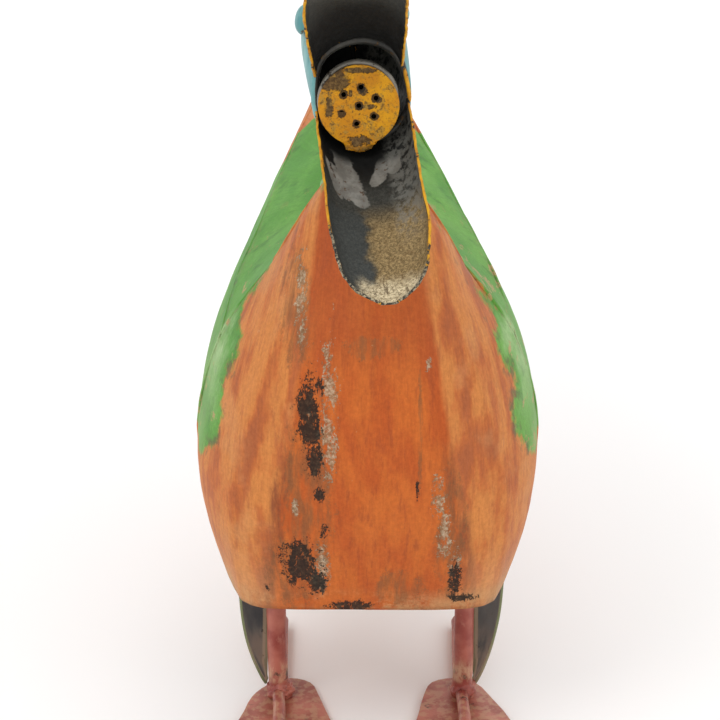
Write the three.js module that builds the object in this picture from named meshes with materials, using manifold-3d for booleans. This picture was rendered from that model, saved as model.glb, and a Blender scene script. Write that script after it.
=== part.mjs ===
// A painted sheet-metal duck watering can, standing on two webbed feet.
// Millimetres, +Z up. The duck faces -Y, so its own left side is at +X.
// Water goes in under the hinged lid on the back, up the pipe in the neck, and out of the
// rose inside the open bill.
import * as THREE from "three";
import { mergeVertices } from "three/addons/utils/BufferGeometryUtils.js";
import Module from "manifold-3d";

// ---- driving dimensions ------------------------------------------------------------------

const SHEET = 1.2; // body, tail and head sheet
const BILL_SHEET = 1.1;
const GAP = 0.3; // between pieces that touch
const SEAM = 0.4; // each panel stops this far short of a crease that it shares
const SPINE_SEAM = 0.6;
const NECK_SEAM = 1.5; // where the back folds sharply against the breast and the neck
const BELLY_Z = 91; // lower edge of the body
const TAIL_SWAY = 0.022; // the hand-made body drifts to its right, per mm of length
const SWAY_START_Y = 20;
const RUMP_Y = 285;
const TAIL_LENGTH = 40;
const TAIL_ROOT_HALF = 11;
const TAIL_TIP_HALF = 23;
const TAIL_ROOT_Z = 241;
const TAIL_RISE = 13;
const TAIL_SHEET = 1.5;
const FRAME_Y = -85.5; // puts the frame's origin under the middle of the object's length

const NECK_CENTRE_Y = -41;
const NECK_TOP_Z = 286;
const NECK_RADIUS = 16;
const SLEEVE_LENGTH = 28;
const PIPE_RADIUS = 8;

const HEAD = { x: -6.3, y: -45, z: 350, yaw: 3.7, roll: -5.7 };
const HEAD_HALF_WIDTH = 22.7;
const ROSE_RADIUS = 17;
const ROSE_PITCH = 11; // degrees that the rose looks up
const ROSE_HOLE_RADIUS = 1.1;
const ROSE_RING_RADIUS = 7.8;

const FILLER = { y: 44, radius: 20, bottomZ: 226, topZ: 249 };
const HINGE = { y: 69, z: 252.5, pinRadius: 1.5, knuckleRadius: 3.2, width: 26 };

const HANDLE_WIDTH = 22;
const HANDLE_THICKNESS = 2.5;

const LEG_RADIUS = 5;
const LEG_Y = -12;
const FOOT_THICKNESS = 3;
const TOE_RADIUS = 3.1;
const HIND_TOE_LENGTH = 52;
const HIND_TOE_RADIUS = 4;
const PAD = { width: 30, length: 26, thickness: 2.5 };

// The breast in level rings, from the belly edge up to the neck. In each ring, a point on the
// front centre line, the crease, two points on the rounded side, and the side seam.
const BREAST_RINGS = [
  { z: 91, front: -81, crease: [47, -79], round: [[58, -72], [66, -44]], seam: [68, -14] },
  { z: 120, front: -91, crease: [43, -89], round: [[62, -78], [75, -46]], seam: [77.5, -11] },
  { z: 150, front: -97, crease: [39, -94], round: [[62, -80], [77, -47]], seam: [80, -10] },
  { z: 175, front: -98, crease: [36, -94], round: [[57, -79], [71, -49]], seam: [76, -15] },
  { z: 200, front: -95, crease: [32, -91], round: [[50, -77], [63, -50]], seam: [68, -20] },
  { z: 219, front: -90, crease: [28, -86], round: [[42, -73], [53, -50]], seam: [57, -23] },
  { z: 238, front: -82, crease: [25, -78], round: [[35, -68], [42, -50]], seam: [44, -29] },
  { z: 261, front: -69, crease: [18, -64], round: [[26, -57], [32, -47]], seam: [33, -36] },
  { z: 286, front: -58, crease: [10, -54.5], round: [[14, -51], [17, -46]], seam: [17.5, -41] },
];

// The body behind the side seam, in stations towards the tail. Each flank point is [x, z], from
// the belly edge up to the shoulder.
const FLANK_STATIONS = [
  { y: 40, flank: [[70, 91], [77, 125], [78, 162], [71, 185], [62, 205]], spineZ: 240 },
  { y: 90, flank: [[63, 96], [68, 133], [69.5, 173], [60.5, 193], [52, 210]], spineZ: 238 },
  { y: 140, flank: [[51, 110], [56, 146], [58, 183], [50, 200], [43, 215]], spineZ: 238 },
  { y: 190, flank: [[37, 134], [42, 165], [44.5, 197], [38, 210], [32, 222]], spineZ: 241 },
  { y: 240, flank: [[24, 168], [27, 191], [27.5, 215], [23.5, 224], [19, 232]], spineZ: 246 },
  { y: RUMP_Y, flank: [[12, 210], [13, 222], [13.5, 233], [12, 240], [10.5, 245]], spineZ: 252 },
];

// Where the back meets the neck, from the shoulder to the spine behind the neck.
const NECK_FOOT = [
  [68, -20, 200],
  [57, -23, 219],
  [44, -29, 238],
  [36, -7, 240],
  [20, 13, 242.5],
  [0, 21, 243],
];
// The back of the neck on the centre line, from its foot to the top of the neck.
const NECK_REAR = [
  [0, 21, 243],
  [0, -3, 262],
  [0, -23.5, NECK_TOP_Z],
];
const ROOF_ROUNDNESS = 1.7;

// ---- materials ---------------------------------------------------------------------------

function paint(color, roughness, metalness = 0.1) {
  return new THREE.MeshStandardMaterial({ color, roughness, metalness, side: THREE.DoubleSide });
}

const ORANGE = paint(0xb8622f, 0.6);
const GREEN = paint(0x5ea43f, 0.6);
const TEAL = paint(0x3b8f96, 0.5);
const YELLOW = paint(0xd9a522, 0.55);
const RED = paint(0x7d2f2b, 0.5);
const SLATE = paint(0x3a4450, 0.6);
const BARE_STEEL = paint(0x6b655c, 0.55, 0.8);

// ---- closed solids from surfaces ---------------------------------------------------------

const wasm = await Module();
wasm.setup();

function vec(x, y, z) {
  return new THREE.Vector3(x, y, z);
}

function swayed(x, y, z) {
  return vec(x - TAIL_SWAY * Math.max(0, y - SWAY_START_Y), y, z);
}

// A smooth surface through a grid of points: u runs along each row, v from row to row.
function smoothSurface(rows) {
  const rails = rows.map((row) => new THREE.CatmullRomCurve3(row, false, "catmullrom", 0.5));
  return (u, v) => {
    const across = rails.map((rail) => rail.getPoint(u));
    return new THREE.CatmullRomCurve3(across, false, "catmullrom", 0.5).getPoint(v);
  };
}

function lengthAlong(pointAt) {
  const steps = 12;
  let length = 0;
  for (let i = 0; i < steps; i++) {
    length += pointAt(i / steps).distanceTo(pointAt((i + 1) / steps));
  }
  return length;
}

// Outer and inner grids of points joined into one closed thin solid.
function shellOf(outer, inner, columns, rows) {
  const points = [...outer, ...inner];
  const at = (i, j) => j * (columns + 1) + i;
  const innerAt = (i, j) => outer.length + at(i, j);
  const index = [];
  const quad = (a, b, c, d) => index.push(a, b, c, a, c, d);
  for (let j = 0; j < rows; j++) {
    for (let i = 0; i < columns; i++) {
      quad(at(i, j), at(i + 1, j), at(i + 1, j + 1), at(i, j + 1));
      quad(innerAt(i, j), innerAt(i, j + 1), innerAt(i + 1, j + 1), innerAt(i + 1, j));
    }
  }
  for (let i = 0; i < columns; i++) {
    quad(at(i, 0), innerAt(i, 0), innerAt(i + 1, 0), at(i + 1, 0));
    quad(at(i, rows), at(i + 1, rows), innerAt(i + 1, rows), innerAt(i, rows));
  }
  for (let j = 0; j < rows; j++) {
    quad(at(0, j), at(0, j + 1), innerAt(0, j + 1), innerAt(0, j));
    quad(at(columns, j), innerAt(columns, j), innerAt(columns, j + 1), at(columns, j + 1));
  }
  const geometry = new THREE.BufferGeometry().setFromPoints(points);
  geometry.setIndex(index);
  return facingOut(geometry);
}

function signedVolume(geometry) {
  const position = geometry.getAttribute("position");
  const index = geometry.index.array;
  const corner = (k) => new THREE.Vector3().fromBufferAttribute(position, index[k]);
  let six = 0;
  for (let k = 0; k < index.length; k += 3) {
    six += corner(k).dot(corner(k + 1).cross(corner(k + 2)));
  }
  return six / 6;
}

function facingOut(geometry) {
  if (signedVolume(geometry) < 0) {
    const index = geometry.index.array;
    for (let k = 0; k < index.length; k += 3) {
      [index[k + 1], index[k + 2]] = [index[k + 2], index[k + 1]];
    }
  }
  geometry.computeVertexNormals();
  return geometry;
}

// A sheet of metal along a surface. Its thickness goes towards the core point (or away from it
// when outward is true), and trim takes [u start, u end, v start, v end] millimetres off.
function sheetAlong(surface, columns, rows, core, options = {}) {
  const { trim = [0, 0, 0, 0], thickness = SHEET, outward = false } = options;
  const place = (i, j) => {
    const rawU = i / columns;
    const rawV = j / rows;
    const spanU = lengthAlong((t) => surface(t, rawV));
    const spanV = lengthAlong((t) => surface(rawU, t));
    const u = trim[0] / spanU + rawU * (1 - (trim[0] + trim[1]) / spanU);
    const v = trim[2] / spanV + rawV * (1 - (trim[2] + trim[3]) / spanV);
    return [u, v];
  };
  const step = 1e-3;
  const normalAt = (u, v) => {
    const alongU = surface(Math.min(1, u + step), v).sub(surface(Math.max(0, u - step), v));
    const alongV = surface(u, Math.min(1, v + step)).sub(surface(u, Math.max(0, v - step)));
    return alongU.cross(alongV).normalize();
  };
  const middle = surface(0.5, 0.5);
  const awayFromCore = normalAt(0.5, 0.5).dot(middle.clone().sub(core)) > 0 ? 1 : -1;
  const offset = thickness * awayFromCore * (outward ? 1 : -1);
  const outer = [];
  const inner = [];
  for (let j = 0; j <= rows; j++) {
    for (let i = 0; i <= columns; i++) {
      const [u, v] = place(i, j);
      const point = surface(u, v);
      outer.push(point);
      inner.push(point.clone().addScaledVector(normalAt(u, v), offset));
    }
  }
  return shellOf(outer, inner, columns, rows);
}

function toManifold(geometry) {
  const plain = geometry.clone();
  plain.deleteAttribute("normal");
  plain.deleteAttribute("uv");
  const merged = mergeVertices(plain, 1e-4);
  return new wasm.Manifold(
    new wasm.Mesh({
      numProp: 3,
      vertProperties: new Float32Array(merged.attributes.position.array),
      triVerts: new Uint32Array(merged.index.array),
    }),
  );
}

function fromManifold(solid) {
  const mesh = solid.getMesh();
  const geometry = new THREE.BufferGeometry();
  const positions = new Float32Array(mesh.vertProperties);
  geometry.setAttribute("position", new THREE.BufferAttribute(positions, 3));
  geometry.setIndex(new THREE.BufferAttribute(new Uint32Array(mesh.triVerts), 1));
  geometry.computeVertexNormals();
  return geometry;
}

function cut(geometry, tool) {
  return fromManifold(toManifold(geometry).subtract(toManifold(tool)));
}

function join(...geometries) {
  return fromManifold(geometries.map(toManifold).reduce((whole, solid) => whole.add(solid)));
}

function cylinderZ(radius, bottom, top, segments = 32, topRadius = radius) {
  const geometry = new THREE.CylinderGeometry(topRadius, radius, top - bottom, segments);
  return geometry.rotateX(Math.PI / 2).translate(0, 0, (bottom + top) / 2);
}

function cylinderX(radius, length, segments = 20) {
  return new THREE.CylinderGeometry(radius, radius, length, segments).rotateZ(Math.PI / 2);
}

// A turned solid about Z from a closed [radius, z] profile.
function turned(profile, segments = 32) {
  const closed = [...profile, profile[0]].map(([r, z]) => new THREE.Vector2(r, z));
  const geometry = new THREE.LatheGeometry(closed, segments).rotateX(Math.PI / 2);
  const plain = geometry.clone();
  plain.deleteAttribute("normal");
  plain.deleteAttribute("uv");
  return facingOut(mergeVertices(plain, 1e-4));
}

// A bar of the given section along a smooth path.
function barAlong(section, points, steps) {
  const path = new THREE.CatmullRomCurve3(points);
  return new THREE.ExtrudeGeometry(section, { steps, bevelEnabled: false, extrudePath: path });
}

function roundSection(radius, sides = 12, holeRadius = 0) {
  const ring = (r, turn) => {
    const corners = [];
    for (let k = 0; k < sides; k++) {
      const angle = (turn * 2 * Math.PI * k) / sides;
      corners.push(new THREE.Vector2(r * Math.cos(angle), r * Math.sin(angle)));
    }
    return corners;
  };
  const shape = new THREE.Shape(ring(radius, 1));
  if (holeRadius) shape.holes.push(new THREE.Path(ring(holeRadius, -1)));
  return shape;
}

// ---- the assembly ------------------------------------------------------------------------

const watering_can = new THREE.Group();
watering_can.name = "duck_watering_can";
const duck = new THREE.Group();
duck.position.y = FRAME_Y;
watering_can.add(duck);

function add(parent, name, geometry, material) {
  const mesh = new THREE.Mesh(geometry, material);
  mesh.name = name;
  parent.add(mesh);
  return mesh;
}

const SIDES = [
  { name: "left", sign: 1 },
  { name: "right", sign: -1 },
];

// ---- body --------------------------------------------------------------------------------

const BODY_CORE = vec(0, 40, 165);

function breastCentre() {
  const rows = BREAST_RINGS.map(({ z, front, crease }) => [
    vec(-crease[0], crease[1], z),
    vec(0, front, z),
    vec(crease[0], crease[1], z),
  ]);
  return smoothSurface(rows);
}

function breastSide(sign) {
  const rows = BREAST_RINGS.map(({ z, crease, round, seam }) =>
    [crease, ...round, seam].map(([x, y]) => vec(sign * x, y, z)),
  );
  return smoothSurface(rows);
}

// u runs from the side seam to the rump, v from the belly edge to the shoulder.
function flankSide(sign) {
  const rails = [0, 1, 2, 3, 4].map((k) => {
    const { z, seam } = BREAST_RINGS[k];
    const behind = FLANK_STATIONS.map(({ y, flank }) => swayed(sign * flank[k][0], y, flank[k][1]));
    return [vec(sign * seam[0], seam[1], z), ...behind];
  });
  return smoothSurface(rails);
}

// u runs from the neck to the rump, v from the shoulder to the spine.
function backSide(sign) {
  const last = NECK_FOOT.length - 1;
  const rails = NECK_FOOT.map(([x, y, z], k) => {
    const t = k / last;
    const behind = FLANK_STATIONS.map(({ y: stationY, flank, spineZ }) => {
      const [shoulderX, shoulderZ] = flank[flank.length - 1];
      const rise = 1 - Math.pow(1 - t, ROOF_ROUNDNESS);
      return swayed(sign * shoulderX * (1 - t), stationY, shoulderZ + (spineZ - shoulderZ) * rise);
    });
    return [vec(sign * x, y, z), ...behind];
  });
  return smoothSurface(rails);
}

// Around the back of the neck, from one side seam to the other.
function neckRear() {
  const foot = NECK_FOOT.slice(2).map((p) => vec(...p));
  const seamTop = BREAST_RINGS.slice(6).map(({ z, seam }) => vec(seam[0], seam[1], z));
  const rear = NECK_REAR.map((p) => vec(...p));
  const rows = seamTop.map((side, k) => {
    const half = foot.map((low, i) => {
      if (k === 0) return low;
      const angle = (i / (foot.length - 1)) * (Math.PI / 2);
      const x = side.x * Math.cos(angle);
      const y = side.y + (rear[k].y - side.y) * Math.sin(angle);
      return vec(x, y, side.z + (rear[k].z - side.z) * Math.sin(angle));
    });
    const mirrored = half.slice(0, -1).map((p) => vec(-p.x, p.y, p.z));
    return [...half, ...mirrored.reverse()];
  });
  return smoothSurface(rows);
}

const BREAST_TRIM = { trim: [SEAM, SEAM, 0, 0] };
add(duck, "breast_panel", sheetAlong(breastCentre(), 4, 12, BODY_CORE, BREAST_TRIM), ORANGE);

const FILLER_X = swayed(0, FILLER.y, 0).x;
const BORE_REACH = 20; // the filler's bore runs this far past the collar, above and below
for (const { name, sign } of SIDES) {
  const breast = sheetAlong(breastSide(sign), 6, 12, BODY_CORE, BREAST_TRIM);
  add(duck, "breast_side_" + name, breast, ORANGE);

  const flankTrim = { trim: [SEAM, 0, 0, SEAM] };
  const flank = sheetAlong(flankSide(sign), 11, 8, BODY_CORE, flankTrim);
  add(duck, "flank_" + name, flank, ORANGE);

  const boreBottom = FILLER.bottomZ - BORE_REACH;
  const fillerBore = cylinderZ(FILLER.radius + GAP, boreBottom, FILLER.topZ + BORE_REACH);
  fillerBore.translate(FILLER_X, FILLER.y, 0);
  const backTrim = { trim: [NECK_SEAM, 0, SEAM, SPINE_SEAM] };
  const back = sheetAlong(backSide(sign), 12, 7, BODY_CORE, backTrim);
  add(duck, "back_" + name, cut(back, fillerBore), GREEN);
}

const NECK_CORE = vec(0, NECK_CENTRE_Y, 262);
const NECK_TRIM = { trim: [SEAM, SEAM, NECK_SEAM, 0] };
add(duck, "neck_rear", sheetAlong(neckRear(), 12, 5, NECK_CORE, NECK_TRIM), ORANGE);

// The flat belly plate, let in between the lower edges of the side panels.
const BELLY_INSET = 2.4;
function bellyPlate() {
  const ring = BREAST_RINGS[0];
  const end = FLANK_STATIONS[0];
  const rearCorner = [end.flank[0][0], end.y];
  const edge = [[0, ring.front], ring.crease, ...ring.round, ring.seam, rearCorner];
  const curve = new THREE.CatmullRomCurve3(edge.map(([x, y]) => vec(x, y, 0)));
  const half = [];
  const steps = 22;
  for (let k = 0; k <= steps; k++) {
    const point = curve.getPoint(k / steps);
    const tangent = curve.getTangent(k / steps);
    const x = k === 0 ? 0 : point.x - BELLY_INSET * tangent.y;
    half.push([x, point.y + BELLY_INSET * tangent.x]);
  }
  const outline = half.map(([x, y]) => new THREE.Vector2(x, y));
  for (const [x, y] of half.slice(1).reverse()) {
    outline.push(new THREE.Vector2(-x, y));
  }
  const shape = new THREE.Shape(outline);
  const plate = new THREE.ExtrudeGeometry(shape, { depth: SHEET, bevelEnabled: false });
  return plate.translate(0, 0, BELLY_Z);
}
add(duck, "belly_plate", bellyPlate(), ORANGE);

// The underside behind the belly plate, rising to the rump.
function bellyRear() {
  const rows = [-1, 0, 1].map((side) =>
    FLANK_STATIONS.map(({ y, flank }) => {
      const [halfWidth, z] = flank[0];
      return swayed(side * (halfWidth - BELLY_INSET), y, z);
    }),
  );
  return smoothSurface(rows);
}
const OVER_BELLY = vec(0, 150, 230);
const UNDERSIDE_TRIM = { trim: [SEAM, SEAM, 0, 0] };
add(duck, "belly_rear", sheetAlong(bellyRear(), 10, 2, OVER_BELLY, UNDERSIDE_TRIM), ORANGE);

// A plate that closes the rump, with the tail standing out behind it.
const RUMP_X = swayed(0, RUMP_Y, 0).x;
function rumpCap() {
  const { flank, spineZ } = FLANK_STATIONS[FLANK_STATIONS.length - 1];
  const half = [...flank, [0, spineZ]].map(([x, z]) => new THREE.Vector2(x, z));
  const other = flank.map(([x, z]) => new THREE.Vector2(-x, z)).reverse();
  const shape = new THREE.Shape([...half, ...other]);
  const plate = new THREE.ExtrudeGeometry(shape, { depth: SHEET, bevelEnabled: false });
  return plate.rotateX(Math.PI / 2).translate(RUMP_X, RUMP_Y + GAP + SHEET, 0);
}
add(duck, "rump_cap", rumpCap(), ORANGE);

function tailSurface() {
  const startY = RUMP_Y + 2 * GAP + SHEET;
  const scallopDepth = 1.6;
  const cornerSetback = 9;
  const crown = 4;
  return (u, v) => {
    const side = 2 * u - 1;
    const spread = Math.sin((v * Math.PI) / 2);
    const halfWidth = TAIL_ROOT_HALF + (TAIL_TIP_HALF - TAIL_ROOT_HALF) * spread;
    const tipEdge = scallopDepth * Math.cos(side * Math.PI * 3) - cornerSetback * side * side;
    const z = TAIL_ROOT_Z + TAIL_RISE * v * v - crown * side * side * (1 - 0.4 * v);
    return vec(RUMP_X + side * halfWidth, startY + TAIL_LENGTH * v + v * v * tipEdge, z);
  };
}
const UNDER_TAIL = vec(0, 300, 150);
const tail = sheetAlong(tailSurface(), 12, 4, UNDER_TAIL, { thickness: TAIL_SHEET });
add(duck, "tail_fan", tail, ORANGE);

// ---- neck and water pipe -----------------------------------------------------------------

// The sleeve leans from the top of the breast to the head, which sits a little to one side.
const SLEEVE_LEAN = vec(0.75 * HEAD.x, -2, SLEEVE_LENGTH);
function neckSleeve() {
  const outer = [];
  const inner = [];
  const columns = 18;
  const rows = 2;
  const foot = vec(0, NECK_CENTRE_Y, NECK_TOP_Z + GAP);
  for (let j = 0; j <= rows; j++) {
    const centre = foot.clone().addScaledVector(SLEEVE_LEAN, j / rows);
    for (let i = 0; i < columns; i++) {
      const angle = (2 * Math.PI * i) / columns;
      const ring = (r) => centre.clone().add(vec(r * Math.cos(angle), r * Math.sin(angle), 0));
      outer.push(ring(NECK_RADIUS));
      inner.push(ring(NECK_RADIUS - SHEET));
    }
  }
  return ringShell(outer, inner, columns, rows);
}

// Outer and inner rings of points joined into one closed tube wall.
function ringShell(outer, inner, columns, rows) {
  const at = (i, j) => j * columns + (i % columns);
  const innerAt = (i, j) => outer.length + at(i, j);
  const index = [];
  const quad = (a, b, c, d) => index.push(a, b, c, a, c, d);
  for (let i = 0; i < columns; i++) {
    for (let j = 0; j < rows; j++) {
      quad(at(i, j), at(i + 1, j), at(i + 1, j + 1), at(i, j + 1));
      quad(innerAt(i, j), innerAt(i, j + 1), innerAt(i + 1, j + 1), innerAt(i + 1, j));
    }
    quad(at(i, 0), innerAt(i, 0), innerAt(i + 1, 0), at(i + 1, 0));
    quad(at(i, rows), at(i + 1, rows), innerAt(i + 1, rows), innerAt(i, rows));
  }
  const geometry = new THREE.BufferGeometry().setFromPoints([...outer, ...inner]);
  geometry.setIndex(index);
  return facingOut(geometry);
}
add(duck, "neck_sleeve", neckSleeve(), ORANGE);

// ---- head --------------------------------------------------------------------------------

const head = new THREE.Group();
head.position.set(HEAD.x, HEAD.y, HEAD.z);
const headRoll = THREE.MathUtils.degToRad(HEAD.roll);
head.rotation.set(0, headRoll, THREE.MathUtils.degToRad(HEAD.yaw), "ZYX");
duck.add(head);

const MOUTH_Y = -26;

// Head stations from the back of the head to the mouth: y, half width, lowest and highest z.
const HEAD_STATIONS = [
  [31.5, 5, -8, 6],
  [29, 11, -17, 15],
  [22, 17.5, -27, 24],
  [10, 22, -34, 30],
  [-5, HEAD_HALF_WIDTH, -37, 31],
  [-17, 22.4, -38, 23],
  [MOUTH_Y, 21.2, -38, 9],
];

const EYE_RADIUS = 7;
// On the cheek: u runs from the back of the head to the mouth, v from the crown down.
const EYE_SEAT = { u: 0.7, v: 0.33 };

function headSide(sign) {
  const rows = [];
  const corners = 7;
  for (let k = 0; k < corners; k++) {
    const angle = Math.PI / 2 - (Math.PI * k) / (corners - 1);
    rows.push(
      HEAD_STATIONS.map(([y, halfWidth, low, high]) => {
        const middle = (low + high) / 2;
        const reach = (high - low) / 2;
        const x = sign * halfWidth * Math.pow(Math.max(0, Math.cos(angle)), 0.85);
        return vec(x, y, middle + reach * Math.sin(angle));
      }),
    );
  }
  return smoothSurface(rows);
}

function inHeadFrame(geometry) {
  head.updateMatrix();
  return geometry.clone().applyMatrix4(head.matrix.clone().invert());
}

function sleeveBore() {
  const radius = NECK_RADIUS + 3 * GAP;
  const bore = cylinderZ(radius, NECK_TOP_Z + 16, NECK_TOP_Z + 40, 24);
  return inHeadFrame(bore.translate(HEAD.x * 0.7, NECK_CENTRE_Y - 1.8, 0));
}

const HEAD_TRIM = { trim: [0, 0, SPINE_SEAM, SPINE_SEAM] };
for (const { name, sign } of SIDES) {
  const half = sheetAlong(headSide(sign), 10, 9, vec(0, 0, 0), HEAD_TRIM);
  add(head, "head_" + name, cut(half, sleeveBore()), TEAL);

  const dome = turned([[0, 0], [EYE_RADIUS, 0], [6, 1.8], [3.6, 3.1], [0, 3.6]], 12);
  const boss = add(head, "eye_boss_" + name, dome, TEAL);
  const cheek = headSide(sign);
  const seat = cheek(EYE_SEAT.u, EYE_SEAT.v);
  const alongU = cheek(EYE_SEAT.u + 0.01, EYE_SEAT.v).sub(seat);
  const alongV = cheek(EYE_SEAT.u, EYE_SEAT.v + 0.01).sub(seat);
  const outward = alongU.cross(alongV).normalize();
  if (outward.x * sign < 0) outward.negate();
  boss.quaternion.setFromUnitVectors(vec(0, 0, 1), outward);
  boss.position.copy(seat).addScaledVector(outward, GAP);
}

// A bill half: a channel along a line in the head's middle plane, rounded at the tip.
// line holds [y, z] points of the channel's edges, up is +1 when its hollow faces down.
function billSurface(line, halfWidths, depths, up) {
  const edge = new THREE.CatmullRomCurve3(line.map(([y, z]) => vec(0, y, z)));
  const width = new THREE.CatmullRomCurve3(halfWidths.map((w, k) => vec(k, w, 0)));
  const depth = new THREE.CatmullRomCurve3(depths.map((d, k) => vec(k, d, 0)));
  return (u, v) => {
    const angle = (u - 0.5) * Math.PI;
    const middle = edge.getPoint(v);
    const tangent = edge.getTangent(v);
    const lift = up * depth.getPoint(v).y * Math.cos(angle);
    const across = width.getPoint(v).y * Math.sin(angle);
    return middle.add(vec(across, tangent.z * lift, -tangent.y * lift));
  };
}

// Both bills butt against the rim of the mouth.
const behindMouth = new THREE.BoxGeometry(80, 40, 120).translate(0, MOUTH_Y - GAP + 20, 0);
const BILL_CORE = vec(0, -60, 0);
const BILL_SIDE = { thickness: BILL_SHEET, outward: true };

const lowerBill = billSurface(
  [[-22, -17.5], [-35, -24], [-60, -38], [-85, -52.5], [-99, -62], [-108, -68.5], [-113, -73]],
  [18.6, 19, 19.3, 19.5, 17.5, 12, 3.5],
  [18, 16, 12.5, 10, 8, 5, 1.5],
  -1,
);
const lowerSheet = sheetAlong(lowerBill, 10, 14, BILL_CORE, BILL_SIDE);
add(head, "lower_bill", cut(lowerSheet, behindMouth), YELLOW);

const upperBill = billSurface(
  [[-29, -5], [-40, 6], [-54, 21], [-66, 34], [-78, 47.5], [-86, 57.5], [-90, 63]],
  [17.6, 18.6, 19.8, 20.3, 18.5, 13, 3.5],
  [11, 12, 12, 11, 9, 6, 2],
  1,
);
const upperSheet = sheetAlong(upperBill, 10, 14, BILL_CORE, BILL_SIDE);
add(head, "upper_bill", cut(upperSheet, behindMouth), YELLOW);

// The rose: a drilled disc on a tapered barrel, fed by the pipe that comes up the neck.
const rose = new THREE.Group();
rose.position.set(-1.8, -33, -18);
rose.rotation.x = THREE.MathUtils.degToRad(90 - ROSE_PITCH);
head.add(rose);

const ROSE_SHEET = 1.4;
const ROSE_RING_HOLES = 6;
function roseDisc() {
  const shape = roundSection(ROSE_RADIUS, 36);
  const drill = (x, y) => {
    const hole = new THREE.Path();
    hole.absarc(x, y, ROSE_HOLE_RADIUS, 0, 2 * Math.PI, true);
    shape.holes.push(hole);
  };
  drill(0, 0);
  for (let k = 0; k < ROSE_RING_HOLES; k++) {
    const angle = THREE.MathUtils.degToRad(17 + (360 / ROSE_RING_HOLES) * k);
    drill(ROSE_RING_RADIUS * Math.cos(angle), ROSE_RING_RADIUS * Math.sin(angle));
  }
  const options = { depth: ROSE_SHEET, bevelEnabled: false, curveSegments: 4 };
  return new THREE.ExtrudeGeometry(shape, options);
}
add(rose, "rose_disc", roseDisc(), YELLOW);

const BARREL_BACK = -17;
const BARREL_SHOULDER = -6;
const BARREL_OUTER = ROSE_RADIUS - 0.6;
const BARREL_INNER = BARREL_OUTER - 1.3;
const barrel = turned([
  [BARREL_OUTER, -GAP],
  [BARREL_OUTER, BARREL_SHOULDER],
  [PIPE_RADIUS + 1.6, BARREL_BACK],
  [PIPE_RADIUS + 0.4, BARREL_BACK],
  [BARREL_INNER, BARREL_SHOULDER],
  [BARREL_INNER, -GAP],
], 24);
add(rose, "rose_barrel", barrel, YELLOW);

// The pipe stands in the tank, bends forward in the head and ends behind the barrel.
function waterPipe() {
  rose.updateWorldMatrix(true, false);
  const duckFromRose = duck.matrixWorld.clone().invert().multiply(rose.matrixWorld);
  const behindBarrel = (back) => vec(0, 0, BARREL_BACK - back).applyMatrix4(duckFromRose);
  const route = [
    vec(0, NECK_CENTRE_Y, 200),
    vec(0, NECK_CENTRE_Y, 250),
    vec(-1, NECK_CENTRE_Y, 290),
    vec(-3.5, NECK_CENTRE_Y - 0.5, 314),
    behindBarrel(9),
    behindBarrel(GAP),
  ];
  return barAlong(roundSection(PIPE_RADIUS, 10, PIPE_RADIUS - 1), route, 14);
}
watering_can.updateMatrixWorld(true);
add(duck, "water_pipe", waterPipe(), BARE_STEEL);

// ---- filler, lid and handle --------------------------------------------------------------

const filler = new THREE.Group();
filler.position.set(FILLER_X, FILLER.y, 0);
duck.add(filler);

const { radius: MOUTH_RADIUS, bottomZ: MOUTH_BOTTOM, topZ: MOUTH_TOP } = FILLER;
const collar = turned([
  [MOUTH_RADIUS - SHEET, MOUTH_BOTTOM],
  [MOUTH_RADIUS, MOUTH_BOTTOM],
  [MOUTH_RADIUS, MOUTH_TOP],
  [MOUTH_RADIUS - SHEET, MOUTH_TOP],
]);
add(filler, "filler_collar", collar, GREEN);

const LID_RADIUS = MOUTH_RADIUS + 1.9;
const LID_TOP = MOUTH_TOP + GAP + SHEET;
const LID_CROWN = 1.2;
const SKIRT_RADIUS = MOUTH_RADIUS + 2 * GAP;
const SKIRT_BOTTOM = MOUTH_TOP - 4;
const HINGE_Y = HINGE.y - FILLER.y;
const LID_KNUCKLE = 9;
const END_KNUCKLE = 6;

function knuckle(centreX, length) {
  return cylinderX(HINGE.knuckleRadius, length, 16).translate(centreX, HINGE_Y, HINGE.z);
}

const pinBore = cylinderX(HINGE.pinRadius + GAP, HINGE.width + 10, 16).translate(0, HINGE_Y, HINGE.z);

function fillerLid() {
  const cap = turned([
    [0, MOUTH_TOP + GAP],
    [SKIRT_RADIUS, MOUTH_TOP + GAP],
    [SKIRT_RADIUS, SKIRT_BOTTOM],
    [LID_RADIUS, SKIRT_BOTTOM],
    [LID_RADIUS, LID_TOP - 0.6],
    [LID_RADIUS - 0.8, LID_TOP],
    [0, LID_TOP + LID_CROWN],
  ]);
  const tabStart = MOUTH_RADIUS - 4;
  const tab = new THREE.BoxGeometry(LID_KNUCKLE, HINGE_Y - tabStart, SHEET);
  tab.translate(0, (HINGE_Y + tabStart) / 2, LID_TOP - SHEET / 2 + 0.3);
  // The skirt runs round the front half only, so that it clears the collar as the lid swings.
  const relief = new THREE.BoxGeometry(60, 40, 10).translate(0, 21, MOUTH_TOP + GAP - 5);
  return cut(join(cut(cap, relief), tab, knuckle(0, LID_KNUCKLE)), pinBore);
}
add(filler, "filler_lid", fillerLid(), GREEN);

const knob = turned([[0, 0], [3, 0], [2.4, 4], [5.4, 7], [5.4, 9.5], [3.5, 11.5], [0, 12]], 16);
add(filler, "lid_knob", knob.translate(0, 0, LID_TOP + LID_CROWN + GAP), RED);

const hingePin = cylinderX(HINGE.pinRadius, HINGE.width, 16).translate(0, HINGE_Y, HINGE.z);
add(filler, "hinge_pin", hingePin, BARE_STEEL);

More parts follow.
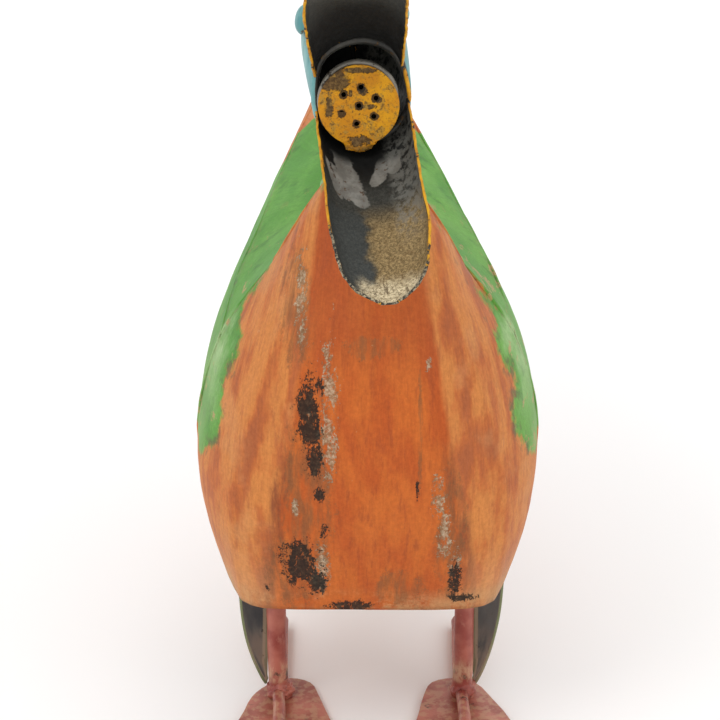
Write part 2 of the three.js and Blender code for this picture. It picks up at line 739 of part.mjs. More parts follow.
// A bracket that stands on the back and carries the two outer knuckles.
const BRACKET_FOOT_Z = 241.4;
function hingeBracket() {
  const width = HINGE.width - 4;
  const foot = new THREE.BoxGeometry(width, 9, SHEET).translate(0, HINGE_Y + 8, BRACKET_FOOT_Z);
  const wall = new THREE.BoxGeometry(width, SHEET, HINGE.z - BRACKET_FOOT_Z);
  const wallY = HINGE_Y + HINGE.knuckleRadius + 0.9;
  wall.translate(0, wallY, (HINGE.z + BRACKET_FOOT_Z) / 2);
  const reach = (LID_KNUCKLE + END_KNUCKLE) / 2 + GAP;
  const ends = [reach, -reach].map((x) => {
    const arm = new THREE.BoxGeometry(END_KNUCKLE, 3, 2.4);
    return join(knuckle(x, END_KNUCKLE), arm.translate(x, HINGE_Y + 2.9, HINGE.z - 0.6));
  });
  return cut(join(foot, wall, ...ends), pinBore);
}
add(filler, "hinge_bracket", hingeBracket(), GREEN);

// A carrying strap from the back of the head, over the lid, down to the back.
const STRAP_FOOT_Z = 243;
const STRAP_FOOT_X = swayed(0, 160, 0).x;
function handleStrap() {
  const half = HANDLE_WIDTH / 2;
  const thick = HANDLE_THICKNESS / 2;
  const section = new THREE.Shape();
  section.moveTo(-half + thick, -thick);
  section.lineTo(half - thick, -thick);
  section.lineTo(half, 0);
  section.lineTo(half - thick, thick);
  section.lineTo(-half + thick, thick);
  section.lineTo(-half, 0);
  section.closePath();
  const endX = STRAP_FOOT_X;
  return barAlong(section, [
    vec(-6, -11, 335),
    vec(-6, -10, 350),
    vec(-5.8, 6, 361),
    vec(-5, 45, 362),
    vec(-4, 90, 350),
    vec(endX, 130, 315),
    vec(endX, 152, 268),
    vec(endX, 161, 246),
    vec(endX, 170, STRAP_FOOT_Z + 0.6),
    vec(endX, 184, STRAP_FOOT_Z + 1.2),
  ], 26);
}
add(duck, "handle_strap", handleStrap(), GREEN);

function rivetHead() {
  return turned([[0, 0], [3, 0], [2.2, 1.4], [0, 1.9]], 8);
}
const HANDLE_RIVET_Y = 178;
const HANDLE_RIVET_REACH = 6;
const handleRivetZ = STRAP_FOOT_Z + 1.2 + HANDLE_THICKNESS / 2 + GAP;
for (const { name, sign } of SIDES) {
  const rivetX = STRAP_FOOT_X + HANDLE_RIVET_REACH * sign;
  const rivet = rivetHead().translate(rivetX, HANDLE_RIVET_Y, handleRivetZ);
  add(duck, "handle_rivet_" + name, rivet, GREEN);
}

// ---- legs and feet -----------------------------------------------------------------------

// The feet differ a little: the left one turns out more. Each lists where the leg meets the
// belly and the foot, and the web's outline from the heel, round the outer side, to the front.
const FEET = {
  left: {
    topX: 48,
    ankleX: 46.3,
    heel: [[32, -1], [43, 3], [54, -2]],
    outer: [[60, -13], [68.6, -33], [80, -78]],
    toes: [[80, -84], [62, -82], [49, -93], [47, -94], [30, -80], [15, -86]],
    inner: [[12.5, -80], [24, -33], [27.5, -14]],
  },
  right: {
    topX: 45,
    ankleX: 43.4,
    heel: [[28, -1], [38, 3], [49, -3]],
    outer: [[56.3, -13], [61.6, -33], [75, -78]],
    toes: [[76, -84], [57, -82], [43, -93], [41, -94], [25, -80], [9, -86]],
    inner: [[7, -80], [18.9, -33], [23.6, -14]],
  },
};

function webOutline({ heel, outer, toes, inner }, sign) {
  const points = [...heel, ...outer, ...toes, ...inner].map(([x, y]) => vec(sign * x, y, 0));
  const loop = new THREE.CatmullRomCurve3(points, true, "centripetal");
  const outline = loop.getPoints(44).slice(0, -1);
  return new THREE.Shape(outline.map((p) => new THREE.Vector2(p.x, p.y)));
}

const PAD_TOP = BELLY_Z - GAP;
// Each thigh is a curved sheet that wraps the outer side and the back of the leg, open in front.
// outerX is for a leg whose ankle is at THIGH_ANKLE_X, and depth is half the sheet's depth in Y.
const THIGH_ANKLE_X = 45;
const THIGH_LEVELS = [
  { z: 5.5, outerX: 51.5, depth: 4 },
  { z: 9, outerX: 54, depth: 6.5 },
  { z: 23, outerX: 59, depth: 11 },
  { z: 40, outerX: 62.8, depth: 15.5 },
  { z: 60, outerX: 64.8, depth: 19 },
  { z: 87.9, outerX: 66, depth: 21 },
];
const THIGH_ARC = [-18, 96]; // degrees from straight out, towards the back
const THIGH_MIDDLE_Y = -6;
const THIGH_INNER = 6.2; // how far outside the leg's middle the arc's centre stands
const THIGH_STEPS = 8;

for (const { name, sign } of SIDES) {
  const foot = FEET[name];
  const webShape = webOutline(foot, sign);
  const web = new THREE.ExtrudeGeometry(webShape, { depth: FOOT_THICKNESS, bevelEnabled: false });
  add(duck, "foot_" + name, web, RED);

  const pad = new THREE.BoxGeometry(PAD.width, PAD.length, PAD.thickness);
  pad.translate(sign * foot.topX, LEG_Y, PAD_TOP - PAD.thickness / 2);
  add(duck, "leg_pad_" + name, pad, RED);

  for (const [place, reach] of [["front", -1], ["rear", 1]]) {
    const rivet = rivetHead().rotateX(Math.PI);
    const rivetY = LEG_Y + (reach * (PAD.length - 8)) / 2;
    rivet.translate(sign * foot.topX, rivetY, PAD_TOP - PAD.thickness - GAP);
    add(duck, "pad_rivet_" + place + "_" + name, rivet, RED);
  }

  const legTop = vec(sign * foot.topX, LEG_Y, PAD_TOP - PAD.thickness - GAP);
  const legFoot = vec(sign * foot.ankleX, LEG_Y, FOOT_THICKNESS + GAP);
  add(duck, "leg_" + name, barAlong(roundSection(LEG_RADIUS, 12), [legTop, legFoot], 2), RED);

  const toeZ = FOOT_THICKNESS + GAP + TOE_RADIUS;
  const tipX = (foot.toes[2][0] + foot.toes[3][0]) / 2;
  const toe = barAlong(roundSection(TOE_RADIUS, 10), [
    vec(sign * foot.ankleX, LEG_Y - LEG_RADIUS - GAP, toeZ),
    vec(sign * (foot.ankleX + tipX) / 2, LEG_Y - 38, toeZ),
    vec(sign * tipX, -88, toeZ),
  ], 5);
  add(duck, "middle_toe_" + name, toe, RED);

  const hindStart = 4.5;
  const hind = barAlong(roundSection(HIND_TOE_RADIUS, 12), [
    vec(sign * foot.ankleX, hindStart, HIND_TOE_RADIUS),
    vec(sign * (foot.ankleX + 1), hindStart + HIND_TOE_LENGTH, HIND_TOE_RADIUS),
  ], 2);
  add(duck, "hind_toe_" + name, hind, RED);

  const shellRows = THIGH_LEVELS.map(({ z, outerX, depth }) => {
    const innerX = THIGH_INNER + foot.ankleX + ((foot.topX - foot.ankleX) * z) / BELLY_Z;
    const reach = Math.max(0.8, outerX + foot.ankleX - THIGH_ANKLE_X - innerX);
    const arc = [];
    for (let k = 0; k <= THIGH_STEPS; k++) {
      const turn = THREE.MathUtils.lerp(THIGH_ARC[0], THIGH_ARC[1], k / THIGH_STEPS);
      const angle = THREE.MathUtils.degToRad(turn);
      const x = innerX + reach * Math.cos(angle);
      arc.push(vec(sign * x, THIGH_MIDDLE_Y + depth * Math.sin(angle), z));
    }
    return arc;
  });
  const legCore = vec(sign * foot.ankleX, THIGH_MIDDLE_Y, 50);
  const thighTrim = { trim: [0, 0, 0, GAP] };
  const thigh = sheetAlong(smoothSurface(shellRows), 8, 7, legCore, thighTrim);
  add(duck, "thigh_" + name, thigh, SLATE);
}

export default watering_can;
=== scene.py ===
import math

import bmesh
import bpy
from mathutils import Matrix, Vector, noise
from mathutils.kdtree import KDTree


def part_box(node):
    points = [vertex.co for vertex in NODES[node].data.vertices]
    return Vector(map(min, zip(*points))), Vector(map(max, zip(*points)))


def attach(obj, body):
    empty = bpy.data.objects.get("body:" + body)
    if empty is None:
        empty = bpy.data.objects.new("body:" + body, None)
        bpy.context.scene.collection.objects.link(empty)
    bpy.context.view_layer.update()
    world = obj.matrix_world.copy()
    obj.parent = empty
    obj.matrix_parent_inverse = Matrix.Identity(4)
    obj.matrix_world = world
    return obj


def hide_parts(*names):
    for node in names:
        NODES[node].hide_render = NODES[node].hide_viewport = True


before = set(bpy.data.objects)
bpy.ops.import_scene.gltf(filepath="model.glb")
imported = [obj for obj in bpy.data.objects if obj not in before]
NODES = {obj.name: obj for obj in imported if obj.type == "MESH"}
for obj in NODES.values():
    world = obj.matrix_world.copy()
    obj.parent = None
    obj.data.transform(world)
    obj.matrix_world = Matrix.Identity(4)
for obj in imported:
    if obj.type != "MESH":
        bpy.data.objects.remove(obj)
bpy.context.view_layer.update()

MM = 0.001
BODY_SHEET = 1.2 * MM
BILL_SHEET = 1.1 * MM
SEAM_REACH = 2.4 * MM  # panels whose edges are closer than this share a seam
ORIGIN = Vector((0, 0, 0))


# ---- camera, light and floor ---------------------------------------------------------------

def place_camera():
    data = bpy.data.cameras.new("camera")
    data.lens = 130.9
    data.sensor_width = 36
    data.clip_end = 20
    camera = bpy.data.objects.new("camera", data)
    camera.location = (-0.0036, -1.1953, 0.6961)
    camera.rotation_euler = (math.radians(65), 0, 0)
    bpy.context.scene.collection.objects.link(camera)
    bpy.context.scene.camera = camera


def area_light(name, place, target, size, power):
    data = bpy.data.lights.new(name, "AREA")
    data.shape = "DISK"
    data.size = size
    data.energy = power
    lamp = bpy.data.objects.new(name, data)
    lamp.location = place
    lamp.rotation_euler = (Vector(target) - Vector(place)).to_track_quat("-Z", "Y").to_euler()
    bpy.context.scene.collection.objects.link(lamp)


def studio():
    scene = bpy.context.scene
    scene.view_settings.view_transform = "Standard"
    world = bpy.data.worlds.new("studio")
    world.use_nodes = True
    world.node_tree.nodes["Background"].inputs["Color"].default_value = (1, 1, 1, 1)
    world.node_tree.nodes["Background"].inputs["Strength"].default_value = 1.0
    scene.world = world
    area_light("key", (-0.9, -1.1, 1.5), (0, -0.1, 0.2), 0.8, 7)
    area_light("fill", (1.2, -0.9, 0.9), (0, -0.1, 0.2), 1.0, 2.5)
    area_light("rim", (0.3, 1.2, 1.4), (0, 0, 0.2), 1.0, 4)


def floor():
    mesh = bpy.data.meshes.new("floor")
    half = 6
    mesh.from_pydata([(-half, -half, 0), (half, -half, 0), (half, half, 0), (-half, half, 0)], [], [(0, 1, 2, 3)])
    plane = bpy.data.objects.new("floor", mesh)
    plane.location.z = -0.0002
    bpy.context.scene.collection.objects.link(plane)
    material = bpy.data.materials.new("floor_white")
    material.use_nodes = True
    shader = material.node_tree.nodes["Principled BSDF"]
    shader.inputs["Base Color"].default_value = (0.92, 0.92, 0.92, 1)
    shader.inputs["Roughness"].default_value = 0.9
    mesh.materials.append(material)


place_camera()
studio()
floor()


# ---- material nodes ------------------------------------------------------------------------

class Paint:
    """A node material under construction. Coordinates are the row frame's, in metres."""

    def __init__(self, name, roughness=0.5, metallic=0.0, specular=0.3):
        self.material = bpy.data.materials.new(name)
        self.material.use_nodes = True
        self.tree = self.material.node_tree
        self.shader = self.tree.nodes["Principled BSDF"]
        self.shader.inputs["Metallic"].default_value = metallic
        self.shader.inputs["Roughness"].default_value = roughness
        self.shader.inputs["Specular IOR Level"].default_value = specular
        self.place = self.tree.nodes.new("ShaderNodeTexCoord").outputs["Object"]
        split = self.tree.nodes.new("ShaderNodeSeparateXYZ")
        self.tree.links.new(self.place, split.inputs[0])
        self.x, self.y, self.z = split.outputs

    def link(self, value, socket):
        if hasattr(value, "is_linked"):
            self.tree.links.new(value, socket)
        elif isinstance(value, tuple) and len(value) == 3 and socket.type == "RGBA":
            socket.default_value = (*value, 1)
        else:
            socket.default_value = value

    def math(self, operation, *values, clamp=False):
        node = self.tree.nodes.new("ShaderNodeMath")
        node.operation = operation
        node.use_clamp = clamp
        for value, socket in zip(values, node.inputs):
            self.link(value, socket)
        return node.outputs[0]

    def add(self, a, b):
        return self.math("ADD", a, b)

    def times(self, a, b):
        return self.math("MULTIPLY", a, b)

    def ramp(self, value, low, high):
        """0 below low, 1 above high, smooth between. high may be under low."""
        node = self.tree.nodes.new("ShaderNodeMapRange")
        node.interpolation_type = "SMOOTHSTEP"
        self.link(value, node.inputs["Value"])
        flip = high < low
        node.inputs["From Min"].default_value = min(low, high)
        node.inputs["From Max"].default_value = max(low, high)
        node.inputs["To Min"].default_value = 1 if flip else 0
        node.inputs["To Max"].default_value = 0 if flip else 1
        return node.outputs[0]

    def combine(self, x, y, z):
        node = self.tree.nodes.new("ShaderNodeCombineXYZ")
        for value, socket in zip((x, y, z), node.inputs):
            self.link(value, socket)
        return node.outputs[0]

    def noise(self, scale, detail=4, stretch=(1, 1, 1), shift=0, place=None, rough=0.55):
        mapping = self.tree.nodes.new("ShaderNodeMapping")
        mapping.inputs["Scale"].default_value = [scale * s for s in stretch]
        mapping.inputs["Location"].default_value = (shift, shift * 0.7, shift * 1.3)
        self.link(place or self.place, mapping.inputs["Vector"])
        node = self.tree.nodes.new("ShaderNodeTexNoise")
        node.inputs["Scale"].default_value = 1
        node.inputs["Detail"].default_value = detail
        node.inputs["Roughness"].default_value = rough
        self.link(mapping.outputs[0], node.inputs["Vector"])
        return node.outputs[0]

    def mix(self, factor, a, b, blend="MIX"):
        node = self.tree.nodes.new("ShaderNodeMix")
        node.data_type = "RGBA"
        node.blend_type = blend
        self.link(factor, node.inputs[0])
        self.link(a, node.inputs[6])
        self.link(b, node.inputs[7])
        return node.outputs[2]

    def curve(self, value, points):
        """A smooth curve through (value, result) points, in metres."""
        node = self.tree.nodes.new("ShaderNodeFloatCurve")
        low, high = points[0][0], points[-1][0]
        largest = max(result for _, result in points)
        line = node.mapping.curves[0]
        places = [((at - low) / (high - low), result / largest) for at, result in points]
        line.points[0].location = places[0]
        line.points[-1].location = places[-1]
        for place in places[1:-1]:
            line.points.new(*place)
        node.mapping.update()
        self.link(self.times(self.add(value, -low), 1 / (high - low)), node.inputs["Value"])
        return self.times(node.outputs[0], largest)

    def spot(self, x, z, reach_x, reach_z, edge_noise, ragged=0.8):
        """A ragged patch on the breast, centred at (x, z)."""
        dx = self.times(self.add(self.x, -x), 1 / reach_x)
        dz = self.times(self.add(self.z, -z), 1 / reach_z)
        squared = self.add(self.times(dx, dx), self.times(dz, dz))
        distance = self.math("SQRT", squared)
        noisy = self.add(distance, self.times(self.add(edge_noise, -0.5), ragged * 2.4))
        return self.ramp(noisy, 1.05, 0.75)

    def attribute(self, name):
        node = self.tree.nodes.new("ShaderNodeAttribute")
        node.attribute_name = name
        return node.outputs["Fac"]

    def finish(self, color, roughness=None, height=None, metallic=None, bump=0.3, depth=0.0006, coat=0.0):
        self.link(color, self.shader.inputs["Base Color"])
        if roughness is not None:
            self.link(roughness, self.shader.inputs["Roughness"])
        if metallic is not None:
            self.link(metallic, self.shader.inputs["Metallic"])
        if coat:
            self.shader.inputs["Coat Weight"].default_value = coat
            self.shader.inputs["Coat Roughness"].default_value = 0.3
        if height is not None:
            node = self.tree.nodes.new("ShaderNodeBump")
            node.inputs["Strength"].default_value = bump
            node.inputs["Distance"].default_value = depth
            self.link(height, node.inputs["Height"])
            self.tree.links.new(node.outputs[0], self.shader.inputs["Normal"])
        return self.material


TANK = Vector((0, -0.045, 0.165))
ORANGE_DEEP = (0.46, 0.12, 0.028)
ORANGE_PALE = (0.56, 0.2, 0.048)
GREEN = (0.078, 0.26, 0.03)
GREEN_PALE = (0.3, 0.44, 0.17)
GREEN_DARK = (0.045, 0.15, 0.02)

# How far out, at each height, the green of the shoulders starts on the breast.
GREEN_EDGE = [(0.15, 0.081), (0.155, 0.0755), (0.165, 0.0695), (0.176, 0.066), (0.19, 0.0645),
              (0.207, 0.0585), (0.219, 0.0555), (0.238, 0.0455), (0.261, 0.0345), (0.286, 0.019)]

# Worn places on the breast: across, height, reach across, reach up and down.
WORN_BROWN = [(-0.031, 0.236, 0.0075, 0.022), (0.001, 0.225, 0.012, 0.005), (-0.0265, 0.15, 0.012, 0.05),
              (0.036, 0.132, 0.0075, 0.036), (-0.033, 0.115, 0.014, 0.022), (0.0225, 0.187, 0.0012, 0.03),
              (0.014, 0.105, 0.012, 0.012)]
GREY_CHIPS = [(-0.0172, 0.2, 0.0036, 0.025), (-0.0175, 0.178, 0.0026, 0.012), (0.031, 0.155, 0.0028, 0.011),
              (0.0338, 0.137, 0.003, 0.014), (0.0385, 0.118, 0.003, 0.008), (0.0262, 0.2168, 0.0013, 0.003),
              (-0.029, 0.238, 0.0026, 0.014), (-0.032, 0.15, 0.0016, 0.004), (-0.021, 0.118, 0.0036, 0.013),
              (-0.0255, 0.197, 0.001, 0.0022)]
BLACK_PATCHES = [(-0.0258, 0.195, 0.0052, 0.0155), (-0.0235, 0.175, 0.0036, 0.009), (-0.0212, 0.158, 0.0024, 0.0035),
                 (-0.0305, 0.119, 0.0082, 0.0135), (-0.024, 0.11, 0.005, 0.009), (-0.0195, 0.139, 0.0022, 0.0045),
                 (0.0392, 0.112, 0.0034, 0.0095), (-0.0065, 0.0935, 0.0105, 0.0034), (0.0215, 0.161, 0.0009, 0.0055),
                 (-0.021, 0.207, 0.0022, 0.005), (0.043, 0.098, 0.006, 0.0024), (-0.0455, 0.104, 0.0014, 0.003)]


def body_paint(name, with_green):
    p = Paint(name, specular=0.22)
    # Brush strokes run down the body, so they are laid out by the angle round the tank.
    turn = p.math("ARCTAN2", p.x, p.math("SUBTRACT", TANK.y, p.y))
    round_place = p.combine(p.times(turn, 0.085), 0, p.z)
    streak = p.noise(125, 5, (1, 1, 0.2), 3, round_place, 0.6)
    fine = p.noise(430, 6, (1, 1, 0.13), 7, round_place, 0.7)
    blotch = p.noise(38, 5, shift=11)
    grain = p.noise(520, 6, shift=5, rough=0.75)
    hair = p.noise(1500, 3, (1, 1, 0.08), 9, round_place)

    front = p.ramp(p.y, -0.118, -0.135)
    crease = p.math("MAXIMUM", p.add(p.times(p.add(p.z, -0.091), -0.152), 0.0485), 0.012)
    fan = p.math("DIVIDE", p.math("ABSOLUTE", p.x), crease)
    wavy_fan = p.add(fan, p.times(p.add(streak, -0.5), 0.35))
    middle = p.times(p.ramp(wavy_fan, 1.08, 0.94), front)
    side = p.mix(p.ramp(streak, 0.42, 0.6), ORANGE_PALE, ORANGE_DEEP)
    side = p.mix(p.times(p.ramp(streak, 0.53, 0.66), 0.6), side, (0.3, 0.085, 0.032))
    side = p.mix(p.times(p.ramp(fine, 0.5, 0.68), 0.6), side, (0.33, 0.09, 0.032))
    side = p.mix(p.times(p.ramp(blotch, 0.5, 0.68), 0.4), side, (0.56, 0.26, 0.1))
    centre = p.mix(p.ramp(streak, 0.35, 0.65), (0.43, 0.082, 0.012), (0.52, 0.125, 0.018))
    centre = p.mix(p.times(p.ramp(fine, 0.5, 0.7), 0.6), centre, (0.28, 0.055, 0.014))
    # Painted shade: the middle panel darkens towards its top, under the bill.
    centre = p.mix(p.times(p.ramp(p.z, 0.2, 0.235), 0.5), centre, (0.34, 0.07, 0.015))
    orange = p.mix(middle, side, centre)
    # Painted shade: darker streaks along the breast's folds, broken up by the fine noise.
    fold_shade = p.times(p.ramp(p.math("ABSOLUTE", p.add(wavy_fan, -0.99)), 0.13, 0.03), p.ramp(p.z, 0.2, 0.16))
    fold_shade = p.times(p.times(fold_shade, front), p.ramp(fine, 0.3, 0.6))
    orange = p.mix(p.times(fold_shade, 0.7), orange, (0.2, 0.055, 0.02))
    # Painted highlight: paler towards the breast's lower outer corners.
    low_corner_highlight = p.times(p.ramp(p.z, 0.13, 0.098), p.ramp(p.math("ABSOLUTE", p.x), 0.03, 0.058))
    orange = p.mix(p.times(low_corner_highlight, 0.5), orange, (0.6, 0.3, 0.13))
    belly_edge = p.times(p.ramp(p.z, 0.106, 0.094), p.ramp(p.add(blotch, p.times(grain, 0.3)), 0.55, 0.7))
    orange = p.mix(p.times(belly_edge, 0.65), orange, (0.46, 0.27, 0.12))
    color = orange

    if with_green:
        wobble = p.add(p.times(p.add(p.noise(70, 4, shift=21), -0.5), 0.011),
                       p.times(p.add(p.noise(400, 4, shift=22), -0.5), 0.003))
        edge_x = p.curve(p.z, GREEN_EDGE)
        beyond = p.add(p.math("SUBTRACT", p.math("ABSOLUTE", p.x), edge_x), wobble)
        behind = p.math("MAXIMUM", p.ramp(beyond, -0.0012, 0.0012), p.ramp(p.y, -0.112, -0.108))
        low_line = p.add(p.times(p.math("MAXIMUM", p.add(p.y, 0.05), 0), 0.3), 0.1515)
        above = p.ramp(p.math("SUBTRACT", p.add(p.z, wobble), low_line), -0.0015, 0.0015)
        rear_line = p.add(p.times(p.add(p.z, -0.19), 0.33), 0.0925)
        ahead = p.ramp(p.math("SUBTRACT", rear_line, p.add(p.y, wobble)), -0.0015, 0.0015)
        green_mask = p.times(p.times(behind, above), ahead)
        green = p.mix(p.ramp(p.noise(45, 5, (1, 0.4, 1), 31), 0.35, 0.7), GREEN, (0.14, 0.35, 0.055))
        green = p.mix(p.times(p.ramp(p.noise(90, 6, shift=33), 0.54, 0.72), 0.7), green, GREEN_DARK)
        # Painted highlight: a pale green streak along the shoulder ridge, just beyond the green's edge.
        ridge_highlight = p.times(p.ramp(p.math("ABSOLUTE", p.add(beyond, -0.009)), 0.008, 0.001), p.ramp(p.z, 0.236, 0.222))
        ridge_highlight = p.times(p.times(ridge_highlight, p.ramp(p.z, 0.165, 0.2)), p.ramp(p.y, -0.09, -0.105))
        green = p.mix(p.times(ridge_highlight, 0.75), green, (0.42, 0.55, 0.3))
        # Painted highlight: paler green at the outer sides, broken up by the blotch noise.
        side_rim_highlight = p.times(p.ramp(p.math("ABSOLUTE", p.x), 0.066, 0.079), p.ramp(blotch, 0.3, 0.6))
        green = p.mix(p.times(side_rim_highlight, 0.45), green, GREEN_PALE)
        scuff_noise = p.add(p.noise(85, 7, (1, 0.5, 1.2), 35, rough=0.7), p.times(p.ramp(p.x, 0.01, 0.03), 0.035))
        scuff = p.times(p.ramp(scuff_noise, 0.595, 0.64), p.ramp(p.y, 0.02, -0.04))
        green = p.mix(p.times(scuff, 0.75), green, (0.45, 0.26, 0.12))
        fringe = p.times(p.ramp(p.math("ABSOLUTE", beyond), 0.003, 0.0006), p.ramp(p.noise(150, 5, shift=37), 0.48, 0.6))
        color = p.mix(green_mask, orange, green)
        fringe = p.times(p.times(fringe, front), p.ramp(p.z, 0.15, 0.158))
        color = p.mix(p.times(fringe, 0.7), color, (0.11, 0.085, 0.04))

    edge = p.add(p.times(p.noise(170, 5, (1, 1, 0.36), 41, rough=0.65), 0.4),
                 p.times(p.noise(520, 5, (1, 1, 0.6), 43, rough=0.7), 0.35))
    edge = p.add(edge, p.times(p.noise(1300, 3, (1, 1, 0.8), 44), 0.25))

    def patches(places, ragged):
        mask = 0.0
        for place in places:
            mask = p.math("MAXIMUM", mask, p.spot(*place, edge, ragged))
        return p.times(mask, front)

    worn = patches(WORN_BROWN, 1.5)
    color = p.mix(p.times(worn, p.times(p.ramp(fine, 0.35, 0.6), 0.6)), color, (0.19, 0.085, 0.03))
    chips = patches(GREY_CHIPS, 3.3)
    chips = p.times(chips, p.ramp(p.noise(240, 6, (1, 1, 0.5), 45, rough=0.7), 0.42, 0.5))
    color = p.mix(p.times(chips, 0.78), color, p.mix(p.ramp(grain, 0.4, 0.65), (0.22, 0.14, 0.07), (0.46, 0.4, 0.29)))
    black = patches(BLACK_PATCHES, 2.7)
    black = p.times(black, p.ramp(p.noise(330, 6, (1, 1, 0.35), 47, rough=0.7), 0.37, 0.44))
    color = p.mix(p.times(black, 0.95), color, p.mix(p.ramp(grain, 0.45, 0.7), (0.009, 0.008, 0.006), (0.05, 0.032, 0.018)))

    fleck = p.ramp(p.noise(360, 5, shift=51, rough=0.75), 0.69, 0.73)
    color = p.mix(p.times(fleck, 0.7), color, (0.07, 0.04, 0.02))
    pale_fleck = p.ramp(p.noise(260, 5, (1, 1, 0.6), 53, rough=0.75), 0.7, 0.74)
    color = p.mix(p.times(pale_fleck, 0.55), color, (0.55, 0.36, 0.18))
    edge_wear = p.times(p.attribute("rim"), p.ramp(p.noise(260, 5, shift=57), 0.44, 0.62))
    color = p.mix(p.times(edge_wear, 0.5), color, (0.26, 0.15, 0.07))
    color = p.mix(0.75, color, p.mix(p.ramp(grain, 0.3, 0.7), (0.84, 0.82, 0.8), (1.12, 1.12, 1.12)), "MULTIPLY")
    color = p.mix(0.6, color, p.mix(p.ramp(hair, 0.3, 0.7), (0.9, 0.88, 0.86), (1.06, 1.06, 1.06)), "MULTIPLY")

    bare = p.math("MAXIMUM", black, chips)
    roughness = p.add(p.add(0.48, p.times(blotch, 0.2)), p.times(bare, 0.12))
    height = p.add(p.add(p.times(grain, 0.35), p.times(hair, 0.25)), p.times(fine, 0.5))
    height = p.math("SUBTRACT", height, p.times(bare, 0.9))
    height = p.math("SUBTRACT", height, p.times(fleck, 0.5))
    return p.finish(color, roughness, height, bump=0.5, depth=0.0005)


def chipped_paint(name, main, pale, dark, under, chip_scale=170, chip_level=0.62, rim_wear=0.5, metallic=0.0):
    """Hand-brushed enamel that has chipped down to what is under it, most of all along edges."""
    p = Paint(name, specular=0.3)
    tone = p.noise(48, 5, shift=2)
    brush = p.noise(260, 4, (1, 1, 0.25), 4)
    color = p.mix(p.ramp(tone, 0.35, 0.65), main, pale)
    color = p.mix(p.times(p.ramp(brush, 0.52, 0.72), 0.6), color, dark)
    chip_noise = p.add(p.noise(chip_scale, 6, shift=6, rough=0.7), p.times(p.attribute("rim"), rim_wear * 0.3))
    chips = p.ramp(chip_noise, chip_level, chip_level + 0.035)
    color = p.mix(chips, color, under)
    fleck = p.ramp(p.noise(chip_scale * 3, 4, shift=8, rough=0.7), 0.66, 0.7)
    color = p.mix(p.times(fleck, 0.7), color, under)
    roughness = p.add(0.36, p.times(p.math("MAXIMUM", chips, p.times(tone, 0.5)), 0.3))
    height = p.math("SUBTRACT", p.add(p.times(brush, 0.4), p.times(tone, 0.6)), p.times(chips, 0.9))
    return p.finish(color, roughness, height, metallic=metallic, bump=0.5, depth=0.0004, coat=0.15)


